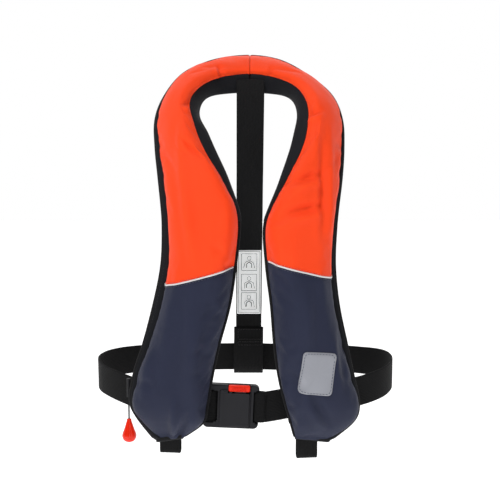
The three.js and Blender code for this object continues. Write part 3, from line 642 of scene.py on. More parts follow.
def loft(name, start, end, profile, material, step=5.0, **options):
    """A closed solid whose section is profile(sections), a list of (u, v) columns."""
    s = Sections(rows_between(start, end, step))
    columns = profile(s)
    ones = np.ones_like(s.width)
    u = np.concatenate([ones * a for a, _ in columns], axis=1)
    v = np.concatenate([ones * b for _, b in columns], axis=1)
    return grid_piece(name, s.place(u, v), material, **options)


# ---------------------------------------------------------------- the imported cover

COVER_ENDS = (0.02, LAST - 0.02)
DOME_COLUMNS = 40
FLOOR_COLUMNS = 14
SHRUNK = 3.0  # mm the cover starts inside its final size, before it is puffed up
LOBE_SWELL = 5.0 * MM
COLLAR_SWELL = 3.4 * MM
ROLL_OFF = 9  # how much lower the collar's outer shoulder lies, in millimetres
PIPING_LINE = {-1: (-78, -290, 0.287), 1: (78, -280, 0.272)}
FOLD_DEPTH = 3.0
# Folds in the cloth: ends in x and z, millimetres, then depth, negative for a ridge, and width.
FOLDS = [
    ((-52, 44), (-44, 20), 3.0, 8), ((36, 42), (30, 18), 3.0, 8), ((-106, -22), (-84, -26), 3.4, 8),
    ((82, -44), (112, -34), 4.0, 8), ((-62, 24), (-96, -2), -2.2, 12), ((70, 12), (96, -14), -1.6, 14),
    ((58, -146), (110, -132), 3.0, 13), ((50, -192), (112, -180), 3.0, 14), ((28, -206), (62, -200), 1.6, 10),
    ((-106, -60), (-104, -140), -2.2, 18), ((-104, -130), (-86, -262), -2.4, 18), ((126, -60), (122, -220),
                                                                                   -1.6, 12),
    ((112, -80), (112, -230), 1.6, 12), ((-34, -170), (-38, -262), -1.6, 18), ((44, -230), (48, -276), -1.4,
                                                                               18),
    ((-86, -300), (-92, -470), -2.4, 26), ((84, -300), (88, -400), -2.0, 22), ((96, -470), (124, -520), 2.0,
                                                                               16),
    ((-116, -480), (-122, -545), -2.4, 12), ((-96, -500), (-112, -545), 1.8, 10), ((66, -420), (70, -500),
                                                                                   1.6, 18),
    ((140, -380), (150, -460), 1.4, 14), ((-140, -380), (-156, -470), 1.2, 16),
]


def roll_off(s, u):
    """How much lower the collar's outer shoulder lies, in millimetres, at u across."""
    return ROLL_OFF * smoothstep(s.gusset, 8, 28) * smoothstep(u / s.width, 0.45, 1.0)


def cover_profile(s):
    """Across and out of the cover: the dome from the outer edge to the inner edge, then the floor back."""
    angles = np.linspace(0, math.pi, 120)[None, :]
    half = s.edge / 2
    cosine, sine = np.cos(angles), np.sin(angles)
    u = half + (half - SHRUNK * 0.4) * np.sign(cosine) * np.abs(cosine) ** DOME_POWER
    base = s.base(u)
    close = 0.2 + 0.8 * np.sin(np.clip(s.tip / 1.3, 0, 1) * math.pi / 2)
    top = s.height * (1 + s.fall * (0.3 - u / s.width)) - SHRUNK
    top = top - roll_off(s, u)
    v = base + (top - base) * np.abs(sine) ** DOME_POWER * close
    even_u, even_v = np.empty((len(s.rows), DOME_COLUMNS)), np.empty((len(s.rows), DOME_COLUMNS))
    for i in range(len(s.rows)):
        even = evenly(np.stack([u[i], v[i]], axis=1), DOME_COLUMNS)
        even_u[i], even_v[i] = even[:, 0], even[:, 1]
    share = np.linspace(0, 1, FLOOR_COLUMNS + 2)[None, 1:-1]
    floor_u = even_u[:, -1:] + (even_u[:, :1] - even_u[:, -1:]) * share
    return np.concatenate([even_u, floor_u], axis=1), np.concatenate([even_v, s.base(floor_u)], axis=1)


def puffed(points):
    """The closed cover blown up by a cloth simulation with its floor and edges held."""
    rows, columns = points.shape[:2]
    faces, _ = grid_faces(points, True, True)
    mesh = bpy.data.meshes.new("puff")
    mesh.from_pydata([tuple(p) for p in points.reshape(-1, 3)], [], faces)
    bm = bmesh.new()
    bm.from_mesh(mesh)
    bmesh.ops.recalc_face_normals(bm, faces=bm.faces)
    bm.to_mesh(mesh)
    bm.free()
    obj = bpy.data.objects.new("puff", mesh)
    SCENE.collection.objects.link(obj)
    held = obj.vertex_groups.new(name="held")
    fixed = [i * columns + j for i in range(rows) for j in range(columns)
             if j in (0, DOME_COLUMNS - 1) or j >= DOME_COLUMNS or i in (0, rows - 1)]
    held.add(fixed, 1.0, "REPLACE")
    modifier = obj.modifiers.new("cloth", "CLOTH")
    cloth = modifier.settings
    cloth.quality = 5
    cloth.mass = 0.2
    cloth.tension_stiffness = cloth.compression_stiffness = 12
    cloth.shear_stiffness = 6
    cloth.bending_stiffness = 1.5
    cloth.air_damping = 3
    cloth.use_pressure = True
    cloth.uniform_pressure_force = 4
    cloth.shrink_min = -0.012
    cloth.vertex_group_mass = "held"
    cloth.effector_weights.gravity = 0
    modifier.collision_settings.use_collision = False
    modifier.point_cache.frame_start, modifier.point_cache.frame_end = 1, 20
    for n in range(1, 21):
        SCENE.frame_set(n)
    result = obj.evaluated_get(bpy.context.evaluated_depsgraph_get()).data
    moved = np.empty(len(result.vertices) * 3, np.float32)
    result.vertices.foreach_get("co", moved)
    bpy.data.objects.remove(obj)
    SCENE.frame_set(1)
    shift = moved.reshape(points.shape).astype(float) - points
    reach = np.linalg.norm(shift, axis=-1, keepdims=True)
    collar = smoothstep(8.0 - np.abs(cover_rows - NAPE_ROW), 0, 4)[:, None, None]
    most = LOBE_SWELL + (COLLAR_SWELL - LOBE_SWELL) * collar
    return points + shift * np.minimum(1, most / np.maximum(reach, 1e-9))


def grid_normals(points):
    """Outward normals of an open grid of points."""
    return unit(np.cross(np.gradient(points, axis=1), np.gradient(points, axis=0)))


def seam_plane(side):
    """A point on the piping line, in metres, and the direction up across it."""
    x, z, tilt = PIPING_LINE[side]
    angle = side * math.atan(tilt)
    return np.array((x, 0, z)) * MM, np.array((math.sin(angle), 0, math.cos(angle)))


def seam_distance(points, side):
    """Distance above the piping line, in metres, of points."""
    point, up = seam_plane(side)
    return (points - point) @ up


def creased(points):
    """Folds pressed into the cover's cloth where it is drawn together."""
    normals = grid_normals(points)
    push = np.zeros(points.shape[:2])
    front = normals[..., 1] < 0.2
    for (x0, z0), (x1, z1), depth, width in FOLDS:
        a = np.array((x0, z0)) * MM
        d = np.array((x1 - x0, z1 - z0)) * MM
        flat = points[..., [0, 2]] - a
        share = np.clip((flat @ d) / (d @ d), 0, 1)
        off = flat - share[..., None] * d
        across = (flat[..., 0] * d[1] - flat[..., 1] * d[0]) / np.linalg.norm(d)
        w = width * MM * 0.5
        far = np.linalg.norm(off, axis=-1)
        beyond = np.sqrt(np.maximum(far ** 2 - across ** 2, 0))
        fade = np.sin(np.pi * (0.12 + 0.76 * share)) * np.exp(-(beyond / w) ** 2)
        valley = np.exp(-(across / w) ** 2)
        ridge = np.exp(-((across - 1.6 * w) / w) ** 2) if depth > 0 else 0
        push += front * fade * MM * FOLD_DEPTH * depth * (0.6 * ridge - valley)
    for i in range(points.shape[0]):
        for j in range(points.shape[1]):
            p = Vector(points[i, j])
            fine = noise.noise(Vector((p.x * 34, p.y * 34, p.z * 17)))
            push[i, j] += MM * (2.0 * noise.noise(p * 13) + 1.3 * fine)
    seam = np.exp(-(np.abs(np.arange(points.shape[0]) - NAPE_INDEX) / 0.8) ** 2)[:, None]
    push -= 0.9 * MM * seam
    for side in (-1, 1):
        near = np.exp(-(seam_distance(points, side) / (5 * MM)) ** 2)
        push -= 1.2 * MM * near * (points[..., 0] * side > 0)
    hold = np.sin(np.linspace(0, math.pi, points.shape[1])) ** 0.4
    return points + normals * (push * hold)[..., None]


cover_rows = rows_between(*COVER_ENDS)
NAPE_INDEX = int(np.argmin(np.abs(cover_rows - NAPE_ROW)))
cover_sections = Sections(cover_rows)
cover_points = cover_sections.place(*cover_profile(cover_sections))
cover_points = puffed(cover_points)
DOME = creased(cover_points[:, :DOME_COLUMNS])
DOME_NORMALS = grid_normals(DOME)


def cut_by_seam(obj, side, above):
    """Only the part of a cover above, or below, the piping line."""
    point, up = seam_plane(side)
    bm = bmesh.new()
    bm.from_mesh(obj.data)
    bmesh.ops.bisect_plane(
        bm, geom=bm.verts[:] + bm.edges[:] + bm.faces[:], plane_co=Vector(point), plane_no=Vector(up),
        clear_inner=above, clear_outer=not above,
    )
    bm.to_mesh(obj.data)
    bm.free()


def make_covers():
    for side, name in ((-1, "right"), (1, "left")):
        part = DOME[:NAPE_INDEX + 1] if side < 0 else DOME[NAPE_INDEX:]
        for colour, material, above in (("orange", ORANGE, True), ("navy", NAVY, False)):
            slot = f"{colour}_cloth"
            shell = grid_piece(f"{colour}_shell_{name}", part, material, ring=False, caps=False, slot=slot,
                               replaces=[f"cover_{colour}_{name}"], outward=False)
            cut_by_seam(shell, side, above)
            shell.modifiers.new("cloth_thickness", "SOLIDIFY").thickness = 1.2 * MM
            shell.modifiers["cloth_thickness"].offset = -1
            subdivide(shell)


def seam_points(side):
    """Where the piping line crosses the cover, and the normals there."""
    rows = range(0, NAPE_INDEX) if side < 0 else range(NAPE_INDEX, len(DOME) - 1)
    distance = seam_distance(DOME, side)
    points, normals = [], []
    for j in range(1, DOME_COLUMNS - 1):
        for i in rows:
            a, b = distance[i, j], distance[i + 1, j]
            if (a < 0) != (b < 0):
                t = a / (a - b)
                points.append(DOME[i, j] * (1 - t) + DOME[i + 1, j] * t)
                normals.append(DOME_NORMALS[i, j] * (1 - t) + DOME_NORMALS[i + 1, j] * t)
                break
    return np.array(points), unit(np.array(normals))


def make_piping():
    for side, name in ((-1, "right"), (1, "left")):
        points, normals = seam_points(side)
        line = evenly(points + normals * 0.7 * MM, 90)
        tube(f"piping_{name}", line, 1.35 * MM, REFLECTIVE, slot="reflective_trim",
             replaces=[f"reflective_piping_{name}"])
        up = np.cross(directions(points), normals)
        up *= np.sign(up[:, 2:3].mean())
        for label, shift, material in (("orange", 3.2, ORANGE_THREAD), ("navy", -3.2, NAVY_THREAD)):
            stitches(f"piping_stitches_{label}_{name}", points + normals * 0.9 * MM + up * shift * MM,
                     normals,
                     material, f"{label}_cloth")


# ---------------------------------------------------------------- plain reflective patch

PATCH = {"x": 103, "z": -436, "half_width": 26, "half_height": 33, "corner": 6, "lean": -0.12}
# The patch from the middle of its back, round its edge, to the middle of its front: share of the
# outline and height over the cover in millimetres.
PATCH_RINGS = [(0.03, 0), (0.5, 0), (1, 0), (1, 1.4), (0.96, 2), (0.8, 2), (0.6, 2), (0.4, 2), (0.2, 2),
               (0.03, 2)]


def make_patch():
    """A plain patch of reflective film sewn to the left lobe, following the cover's surface."""
    rows, columns = DOME.shape[:2]
    faces = [(i * columns + j, i * columns + j + 1, (i + 1) * columns + j + 1, (i + 1) * columns + j)
             for i in range(rows - 1) for j in range(columns - 1)]
    surface = BVHTree.FromPolygons([Vector(p) for p in DOME.reshape(-1, 3)], faces)

    def on_cover(x, z):
        hit, normal, _, _ = surface.ray_cast(Vector((x * MM, -1, z * MM)), Vector((0, 1, 0)))
        return np.array(hit), np.array(-normal if normal.y > 0 else normal)

    def outline(share, shrink=0.0):
        ring = slab_rings(2 * (PATCH["half_width"] - shrink), 2 * (PATCH["half_height"] - shrink), 0.1,
                          PATCH["corner"], 0.01, per_corner=6, steps=1)[0]
        dense = evenly(np.vstack([ring, ring[:1]]), 73)[:-1] * share
        c, n = math.cos(PATCH["lean"]), math.sin(PATCH["lean"])
        return [(PATCH["x"] + x * c - z * n, PATCH["z"] + x * n + z * c) for x, _, z in dense]

    rings = []
    for share, lift in PATCH_RINGS:
        ring = []
        for x, z in outline(share):
            point, normal = on_cover(x, z)
            ring.append(point + normal * lift * MM)
        rings.append(ring)
    grid_piece("reflective_patch", np.array(rings), PATCH_FILM, slot="reflective_trim")
    seam = [on_cover(x, z) for x, z in outline(1, 2.5)]
    seam.append(seam[0])
    line = np.array([p + n * 2.1 * MM for p, n in seam])
    stitches("reflective_patch_stitches", line, np.array([n for _, n in seam]), NAVY_THREAD, "navy_cloth")


# ---------------------------------------------------------------- folded bladder, under the cover

NAPE_DRAW = 0.24  # share of its width that the bladder loses at the nape
NAPE_REACH = 1.6  # over how many rows
NAPE_SINK = 6  # how much lower its top lies there, in millimetres


def bladder_profile(s):
    """Accordion folds of the coated cloth, drawn in to the inner side of the lower lobes."""
    share = 0.27 + 0.73 * smoothstep(s.rows, 6.2, 7.6) * (1 - smoothstep(s.rows, LAST - 9.6, LAST - 8.2))
    share = (share - NAPE_DRAW * np.exp(-((s.rows - NAPE_ROW) / NAPE_REACH) ** 2))[:, None]
    inset, foot = 10.5, 10.6
    high = s.height - 6 * (1 - share)
    full = s.width - 2 * inset
    end = smoothstep(s.tip, 1.2, 2.6)
    at_nape = NAPE_SINK * np.exp(-((s.rows - NAPE_ROW) ** 2))[:, None]
    columns = []
    for angle in np.linspace(0, math.pi, 25):
        c, up = math.cos(angle), math.sin(angle) ** DOME_POWER
        u = inset + full * share * (0.5 + 0.5 * math.copysign(abs(c) ** DOME_POWER, c))
        low = foot + np.maximum(s.gusset - foot, 0) * (1 - u / s.width)
        top = (high - inset) * (1 + s.fall * (0.3 - u / s.width)) - 3 - roll_off(s, u) - at_nape
        fold = 1.4 * math.cos(angle * 14) * up
        columns.append((u, low + np.maximum(top - low + fold, 1) * up * (0.3 + 0.7 * end)))
    first, last = columns[0][0], columns[-1][0]
    for k in (0.3, 0.6):
        u = last + (first - last) * k
        columns.append((u, s.base(u) + foot - FOOT))
    return columns


def make_bladder():
    folded = loft("folded_bladder", 1.5, LAST - 1.5, bladder_profile, BLADDER_CLOTH, step=8,
                  slot="coated_bladder",
                  replaces=["bladder"])


# ---------------------------------------------------------------- lining, flange, edge tape and gusset

def lining_profile(s):
    w = s.width
    low, high = -s.lean, w + s.margin
    top = [(low + 0.6, 4.4), (low + 2.2, LINING_DEPTH), (w * 0.3, LINING_DEPTH), (w * 0.7, LINING_DEPTH),
           (w, LINING_DEPTH), (high - 3, LINING_DEPTH - 0.3), (high - 0.8, 4.0)]
    bottom = [(high, 2.5), (high - 0.8, 1.0), (high - 4, 0.0), (w * 0.9, -0.6), (w * 0.75, -0.9),
              (w * 0.6, -0.5),
              (w * 0.5, 0.1), (w * 0.4, -0.5), (w * 0.25, -0.9), (w * 0.1, -0.6), (low + 4, 0.0),
              (low + 0.6, 1.0),
              (low, 2.5)]
    return top + bottom


def flange_profile(s):
    w, far = s.edge, s.width + s.margin
    return [(w - 4, 5.1), (far - 4, 4.6), (far - 2.4, 5.2), (far - 4, 6.4), (0.5 * (w + far), 7.6),
            (w + 1, 8.2),
            (w - 4, 8.4)]


def tape_profile(s):
    e = s.width + s.margin
    wide = np.minimum(9, s.margin + 1.5)
    return [(e - wide, 6.9), (e - wide * 0.5, 6.6), (e - 1.2, 6.0), (e + 0.5, 4.9), (e + 1.0, 3.2),
            (e + 0.9, 1.4),
            (e - 0.3, -0.3), (e - 2, -0.9), (e - wide * 0.6, -1.0), (e - wide, -0.7), (e - wide - 0.2, 0.2),
            (e - wide - 0.2, 5.4)]


def gusset_profile(s):
    """The side wall round the neck, bellied towards the neck."""
    low, high = FOOT - 2.5, s.gusset
    rise = high - low
    lean = s.lean
    return [(-lean - 0.8, low), (-lean - 0.9, low + 0.12 * rise), (-0.78 * lean - 1.6, low + 0.35 * rise),
            (-0.45 * lean - 2.0, low + 0.62 * rise), (-0.15 * lean - 1.2, low + 0.85 * rise), (1.0,
                                                                                               high + 1.2),
            (2.6, high + 0.6), (0.9 - 0.15 * lean, low + 0.8 * rise), (0.5 - 0.45 * lean, low + 0.55 * rise),
            (1.0 - 0.78 * lean, low + 0.28 * rise), (1.6 - lean, low + 0.05 * rise)]


SHOULDER_ROW = 10
PANEL_OVERLAP = 0.05  # of a row, where two back panels meet


def make_edges():
    panels = (("right", "right_lobe", 0, SHOULDER_ROW + PANEL_OVERLAP),
              ("collar", "collar", SHOULDER_ROW - PANEL_OVERLAP, LAST - SHOULDER_ROW + PANEL_OVERLAP),
              ("left", "left_lobe", LAST - SHOULDER_ROW - PANEL_OVERLAP, LAST))
    for name, lining, start, end in panels:
        panel = loft(f"back_panel_{name}", start, end, lining_profile, LINING, slot="black_lining",
                     replaces=[f"lining_{lining}"])
        subdivide(panel)
    halves = (("right", 0.1, NAPE_ROW), ("left", NAPE_ROW, LAST - 0.1))
    for name, start, end in halves:
        flange = loft(f"edge_flange_{name}", start, end, flange_profile, GUSSET, slot="black_lining",
                      replaces=[f"edge_binding_{name}"])
        subdivide(flange)
        subdivide(loft(f"edge_tape_{name}", start, end, tape_profile, TAPE, slot="black_lining"))
        s = Sections(rows_between(start, end, 4))
        line = s.place(s.width + s.margin - np.minimum(9, s.margin + 1.5) + 1.6,
                       7.0 * np.ones_like(s.width))[:, 0]
        stitches(f"edge_stitches_{name}", line, s.out, BLACK_THREAD, "black_lining")
    for name, start, end in (("right", 7.2, NAPE_ROW), ("left", NAPE_ROW, LAST - 7.2)):
        gusset = loft(f"gusset_{name}", start, end, gusset_profile, GUSSET, slot="black_lining",
                      replaces=[f"neck_gusset_{name}"])
        subdivide(gusset)
    for row, name in ((0, "right"), (LAST, "left")):
        tip_wrap(f"tip_wrap_{name}", row)


def tip_wrap(name, row):
    """Tape folded over the tip of a lobe, from its front round the end to its back."""
    s = Sections([row])
    inwards = 1 if row == 0 else -1
    t = row / LAST
    up = inwards * unit(Sections.middle(np.clip(t + 0.004, 0, 1)) - Sections.middle(np.clip(t - 0.004, 0, 1)))
    fold = [(7.5, 8.2), (4, 8.0), (1, 7.4), (-0.9, 5.6), (-1.5, 3.2), (-0.9, 0.8), (1, -0.9), (7.5, -1.2),
            (7.5, -0.4),
            (1.6, -0.2), (0.4, 3.2), (1.6, 6.0), (7.5, 7.0)]
    low, high = 1 - float(s.lean[0, 0]), float(s.width[0, 0] + s.margin[0, 0]) - 1
    rows = []
    for share in np.linspace(0, 1, 16):
        thin = 1 - 0.3 * abs(2 * share - 1) ** 3
        base = s.place(np.array([[low + (high - low) * share]]), np.array([[0.0]]))[0, 0]
        rows.append([base + (up * a + s.out[0] * (3.2 + (v - 3.2) * thin)) * MM for a, v in fold])
    return subdivide(grid_piece(name, np.array(rows), TAPE, slot="black_lining"))


# ---------------------------------------------------------------- straps, belt and loops

BELT_WIDTH = 50 * MM
STRAP_WIDTH = 47 * MM
WEB = 2.2 * MM
STRAP_ROUTE = [(1, -12.5, 24), (0.8, -11, 0), (0.4, 4, -50), (-0.2, 32, -130), (-1, 60, -230),
               (-1.8, 78, -340),
               (-2.5, 87, -430), (-3, 87, -496)]
STRAP_END = [(-2.4, 86, -418), (-2.5, 87, -432), (-2.8, 87, -465), (-3, 87, -492), (-3, 87.5, -497),
             (-3, 92, -506), (-3, 96.5, -497), (-3, 97, -446)]
STRAP_END_WIDTH = 54 * MM
BELT_ROUTE = [
    (-81, -146, -498), (-100, -143.5, -496.5), (-140, -134, -494), (-188, -110, -488), (-229, -80, -481),
    (-254, -50, -476), (-260, -20, -472), (-247, 16, -470), (-205, 54, -471), (-140, 79, -474),
    (-70, 90, -475), (0, 92, -475), (70, 90, -476), (140, 79, -475), (200, 54, -473),
    (235, 16, -470), (244, -18, -471), (240, -46, -475), (221, -74, -481), (180, -100, -488),
    (130, -122, -491), (100, -129.5, -489), (62, -137, -489),
]
FRONT_ROUTE = [(17, -146.8, -502.8), (45, -143.5, -499), (88, -138, -492)]
FOLD_RADIUS = 4.2  # of the webbing folded round the buckle's bars, in millimetres
BUCKLE = Matrix.Translation(Vector((-30, -147, -499.2)) * MM) @ Matrix.Rotation(math.radians(2.5), 4, "Y")


def in_buckle(points):
    """Points in the buckle's own millimetres, placed in the frame in metres."""
    p = np.asarray(points, float)
    rotation = np.array(BUCKLE.to_3x3())
    return p @ rotation.T * MM + np.array(BUCKLE.translation)


def bar_loop(name, middle, reach, body):
    """Webbing folded round a bar of the buckle: an oval seen along Z."""
    angles = np.linspace(0, 2 * math.pi, 33)[:-1]
    cosine = np.cos(angles)
    x = middle + (reach / 2 - FOLD_RADIUS) * np.sign(cosine) * np.abs(cosine) ** 0.4 + FOLD_RADIUS * cosine
    y = FOLD_RADIUS * np.sin(angles)
    ring = in_buckle(np.stack([x, y, 0 * x], axis=1))
    ring = np.vstack([ring, ring[:1]])
    band(name, ring, BELT_WIDTH - 0.6 * MM, WEB, (0.0436, 0, 0.999), SHADED_WEBBING, body=body, slot="black_webbing")


def strap_stitches(name, corners, y, normal=(0, -1, 0), cross=False):
    """A sewn box, with a cross in it if asked, in x and z millimetres at a depth y."""
    (x0, z0), (x1, z1) = corners
    loops = [[(x0, z0), (x1, z0), (x1, z1), (x0, z1), (x0, z0)]]
    if cross:
        loops += [[(x0, z0), (x1, z1)], [(x1, z0), (x0, z1)]]
    for number, loop in enumerate(loops):
        line = []
        for (ax, az), (bx, bz) in zip(loop, loop[1:]):
            for t in np.linspace(0, 1, 12, endpoint=False):
                x, z = ax + (bx - ax) * t, az + (bz - az) * t
                line.append((x, y(x, z) if callable(y) else y, z))
        line.append((loop[-1][0], line[-1][1], loop[-1][1]))
        line = np.array(line) * MM
        normals = np.broadcast_to(np.array(normal, float), line.shape)
        stitches(f"{name}_{number}", line, normals, BLACK_THREAD, "black_webbing")


def strap_front(_, z):
    """The front of the wide piece at the strap's end, in millimetres."""
    return float(np.interp(z, (-465, -430, -399), (87, 87, 84))) - 2.1


def make_webbing():
    strap = band("strap_webbing", route(STRAP_ROUTE, 5 * MM), STRAP_WIDTH, WEB, (1, 0, 0), WEBBING,
                 ripple=0.5 * MM, slot="black_webbing", replaces=["back_strap"])
    subdivide(strap)
    end_line = route(STRAP_END, 3 * MM) - np.array((0, 0.5, 0)) * MM
    band("strap_return", end_line, STRAP_END_WIDTH, WEB * 1.3, (1, 0, 0), WEBBING, slot="black_webbing")
    belt = band("belt_webbing", route(BELT_ROUTE, 5 * MM), BELT_WIDTH, WEB, (0, 0, 1), SHADED_WEBBING,
                ripple=0.7 * MM,
                slot="black_webbing", replaces=["waist_belt"])
    subdivide(belt)
    bar_loop("belt_loop", -37.95, 30.7, "jacket")
    front = band("front_webbing", route(FRONT_ROUTE, 4 * MM), BELT_WIDTH, WEB, (0, 0, 1), SHADED_WEBBING,
                 ripple=0.5 * MM, body="buckle_male", slot="black_webbing", replaces=["belt_front_end"])
    subdivide(front)
    bar_loop("front_loop", 44.8, 18, "buckle_male")
    strap_stitches("strap_box", ((-22, -441), (22, -423)), strap_front)
    strap_stitches("strap_box_low", ((-22, -452), (22, -446)), strap_front)
    strap_stitches("strap_box_back", ((-22, -490), (22, -452)), 98.2, normal=(0, 1, 0), cross=True)


def folded_ring(name, centre, turn, inside_depth, height, width, cloth, replaced):
    """A sewn loop of webbing seen along its width: an oval of depth along y and height along z."""
    angles = np.linspace(0, 2 * math.pi, 49)
    r = inside_depth / 2 + cloth / 2
    straight = height / 2 - cloth / 2 - r
    z = np.clip(np.sin(angles) * height, -straight, straight) + r * np.sin(angles)
    y = r * np.sign(np.cos(angles)) * np.abs(np.cos(angles)) ** 0.5
    local = np.stack([0 * y, y, z], axis=1)
    c, s = math.cos(turn), math.sin(turn)
    local = local @ np.array(((c, s, 0), (-s, c, 0), (0, 0, 1)))
    line = (local + np.array(centre)) * MM
    band(name, evenly(line, 60), width * MM, cloth * MM, (c, s, 0), WEBBING, slot="black_webbing",
         replaces=[replaced], columns=8)


def make_loops():
    folded_ring("keeper_right", (-118, -136.2, -493), -0.19, 14, 74.5, 20, 1.5, "belt_keeper_right")
    folded_ring("keeper_left", (73, -139.8, -494), 0.2, 21, 74.5, 20, 1.5, "belt_keeper_left")
    folded_ring("tip_loop_right", (-127.5, -137, -560), -0.1, 10.6, 38, 33, 2.2, "crotch_strap_loop_right")
    folded_ring("tip_loop_left", (90.5, -141.5, -567), 0.12, 10.6, 38, 33, 2.2, "crotch_strap_loop_left")


# ---------------------------------------------------------------- label on the back strap

def strap_at(z):
    """The middle of the strap at a height in millimetres: x, y and the normal of its front face."""
    line = route(STRAP_ROUTE, 2 * MM)
    d = directions(line)
    order = np.argsort(line[:, 2])
    x = np.interp(z * MM, line[order, 2], line[order, 0])
    y = np.interp(z * MM, line[order, 2], line[order, 1])
    dy = np.interp(z * MM, line[order, 2], d[order, 1])
    dz = np.interp(z * MM, line[order, 2], d[order, 2])
    return x, y, np.array((0, dz, -dy)) / math.hypot(dy, dz)


def on_strap(x, z, lift):
    """A point over the strap's front face, in metres."""
    middle, y, normal = strap_at(z)
    return np.array((middle + x * MM, y, z * MM)) + normal * (1.1 + lift) * MM


LABEL_TOP, LABEL_BOTTOM = -273.4, -392.6


def ink_line(name, points, width=0.9, closed=False):
    """A printed line on the label, as a thin raised strip through (x, z) points."""
    if closed:
        points = points + points[:1]
    corners = np.array(points, float)
    flat = evenly(corners, max(3, int(lengths(corners)[-1] / 1.2)))
    section = ((-1, 0.9), (1, 0.9), (1, 1.15), (-1, 1.15))
    rows = [[on_strap(x - dz * width / 2 * k, z + dx * width / 2 * k, lift) for k, lift in section]
            for (x, z), (dx, dz) in zip(flat, directions(flat))]
    return grid_piece(name, np.array(rows), PRINT, slot="label_film", smooth=False)


def make_label():
    heights = np.linspace(LABEL_TOP, LABEL_BOTTOM, 40)
    section = [(-21.4, 0.1), (-21.5, 0.6), (-21.0, 0.95), (-7, 1.0), (7, 1.0), (21.0, 0.95), (21.5, 0.6),
               (21.4, 0.1)]
    rows = [[on_strap(x, z, lift + 0.12 * math.sin(z * 0.11)) for x, lift in section] for z in heights]
    grid_piece("label_panel", np.array(rows), LABEL, slot="label_film", replaces=["instruction_label"])
    ink_line("label_frame", [(-19.4, -275.6), (19.4, -275.6), (19.4, -390.4), (-19.4, -390.4)], 0.7,
             closed=True)
    for number, top in enumerate((-280, -318, -353)):
        low = top - 31
        ink_line(f"label_box_{number}", [(-14, top), (14, top), (14, low), (-14, low)], 0.8, closed=True)
        turns = np.linspace(0, 2 * math.pi, 13)[:-1]
        head = [(3.4 * math.cos(a), top - 8 + 3.8 * math.sin(a)) for a in turns]
        ink_line(f"label_head_{number}", head, 0.7, closed=True)
        arms = [(-10 + 2 * number, low + 4), (-8, top - 17), (-3, top - 13.5), (3, top - 13.5),
                (8, top - 17 + number), (10, low + 4)]
        ink_line(f"label_body_{number}", arms, 0.8)
        yoke = [(-4.5, low + 5), (-4.8, top - 19), (0, top - 15.5), (4.8, top - 19), (4.5, low + 5)]
        ink_line(f"label_yoke_{number}", yoke, 1.3)


# ---------------------------------------------------------------- buckle

EDGE_ROUND = 0.35 * MM


def slab_rings(width, height, depth, corner, edge, at=(0, 0, 0), per_corner=8, steps=5):
    """Rings of a plate in the XZ plane with rounded corners and rounded edges, front face at -y.

    corner is one radius, or four: top right, top left, bottom left and bottom right."""
    corners = np.broadcast_to(corner, (4,))

    def ring(inset, y):
        points = []
        for cx, cz, start in ((1, 1, 0), (-1, 1, 1), (-1, -1, 2), (1, -1, 3)):
            r = max(corners[start] - inset, 0.3)
            x0, z0 = cx * (width / 2 - inset - r), cz * (height / 2 - inset - r)
            for k in range(per_corner + 1):
                a = (start + k / per_corner) * math.pi / 2
                points.append((at[0] + x0 + r * math.cos(a), at[1] + y, at[2] + z0 + r * math.sin(a)))
        return points
    rings = []
    for k in range(steps + 1):
        a = k / steps * math.pi / 2
        rings.append(ring(edge * (1 - math.sin(a)), -depth / 2 + edge * (1 - math.cos(a))))
    for k in range(steps + 1):
        a = k / steps * math.pi / 2
        rings.append(ring(edge * (1 - math.cos(a)), depth / 2 - edge * (1 - math.sin(a))))
    return np.array(rings)


def cutter(low, high, radius):
    """A box between two corners in the buckle's millimetres, for cutting, with rounded edges along y."""
    (x0, y0, z0), (x1, y1, z1) = low, high
    middle = ((x0 + x1) / 2, (y0 + y1) / 2, (z0 + z1) / 2)
    rings = slab_rings(x1 - x0, z1 - z0, y1 - y0, radius, 0.01, middle, 5, 1)
    return grid_piece("cutter", in_buckle(rings), BUCKLE_PLASTIC, body=None)


def carve(obj, *cutters):
    """The object with the cutters taken out of it and its edges rounded; the cutters are removed."""
    for tool in cutters:
        modifier = obj.modifiers.new("carve", "BOOLEAN")
        modifier.operation = "DIFFERENCE"
        modifier.solver = "EXACT"
        modifier.object = tool
    bpy.context.view_layer.update()
    result = bpy.data.meshes.new_from_object(obj.evaluated_get(bpy.context.evaluated_depsgraph_get()))
    obj.modifiers.clear()
    obj.data = result
    for tool in cutters:
        bpy.data.objects.remove(tool)
    round_edges(obj)


def round_edges(obj):
    """Small rounded edges, with the flat faces kept flat in the shading."""
    modifier = obj.modifiers.new("round", "BEVEL")
    modifier.width = EDGE_ROUND
    modifier.segments = 2
    modifier.limit_method = "ANGLE"
    modifier.angle_limit = math.radians(40)
    modifier.harden_normals = True
    obj.modifiers.new("flat_faces", "WEIGHTED_NORMAL").weight = 100


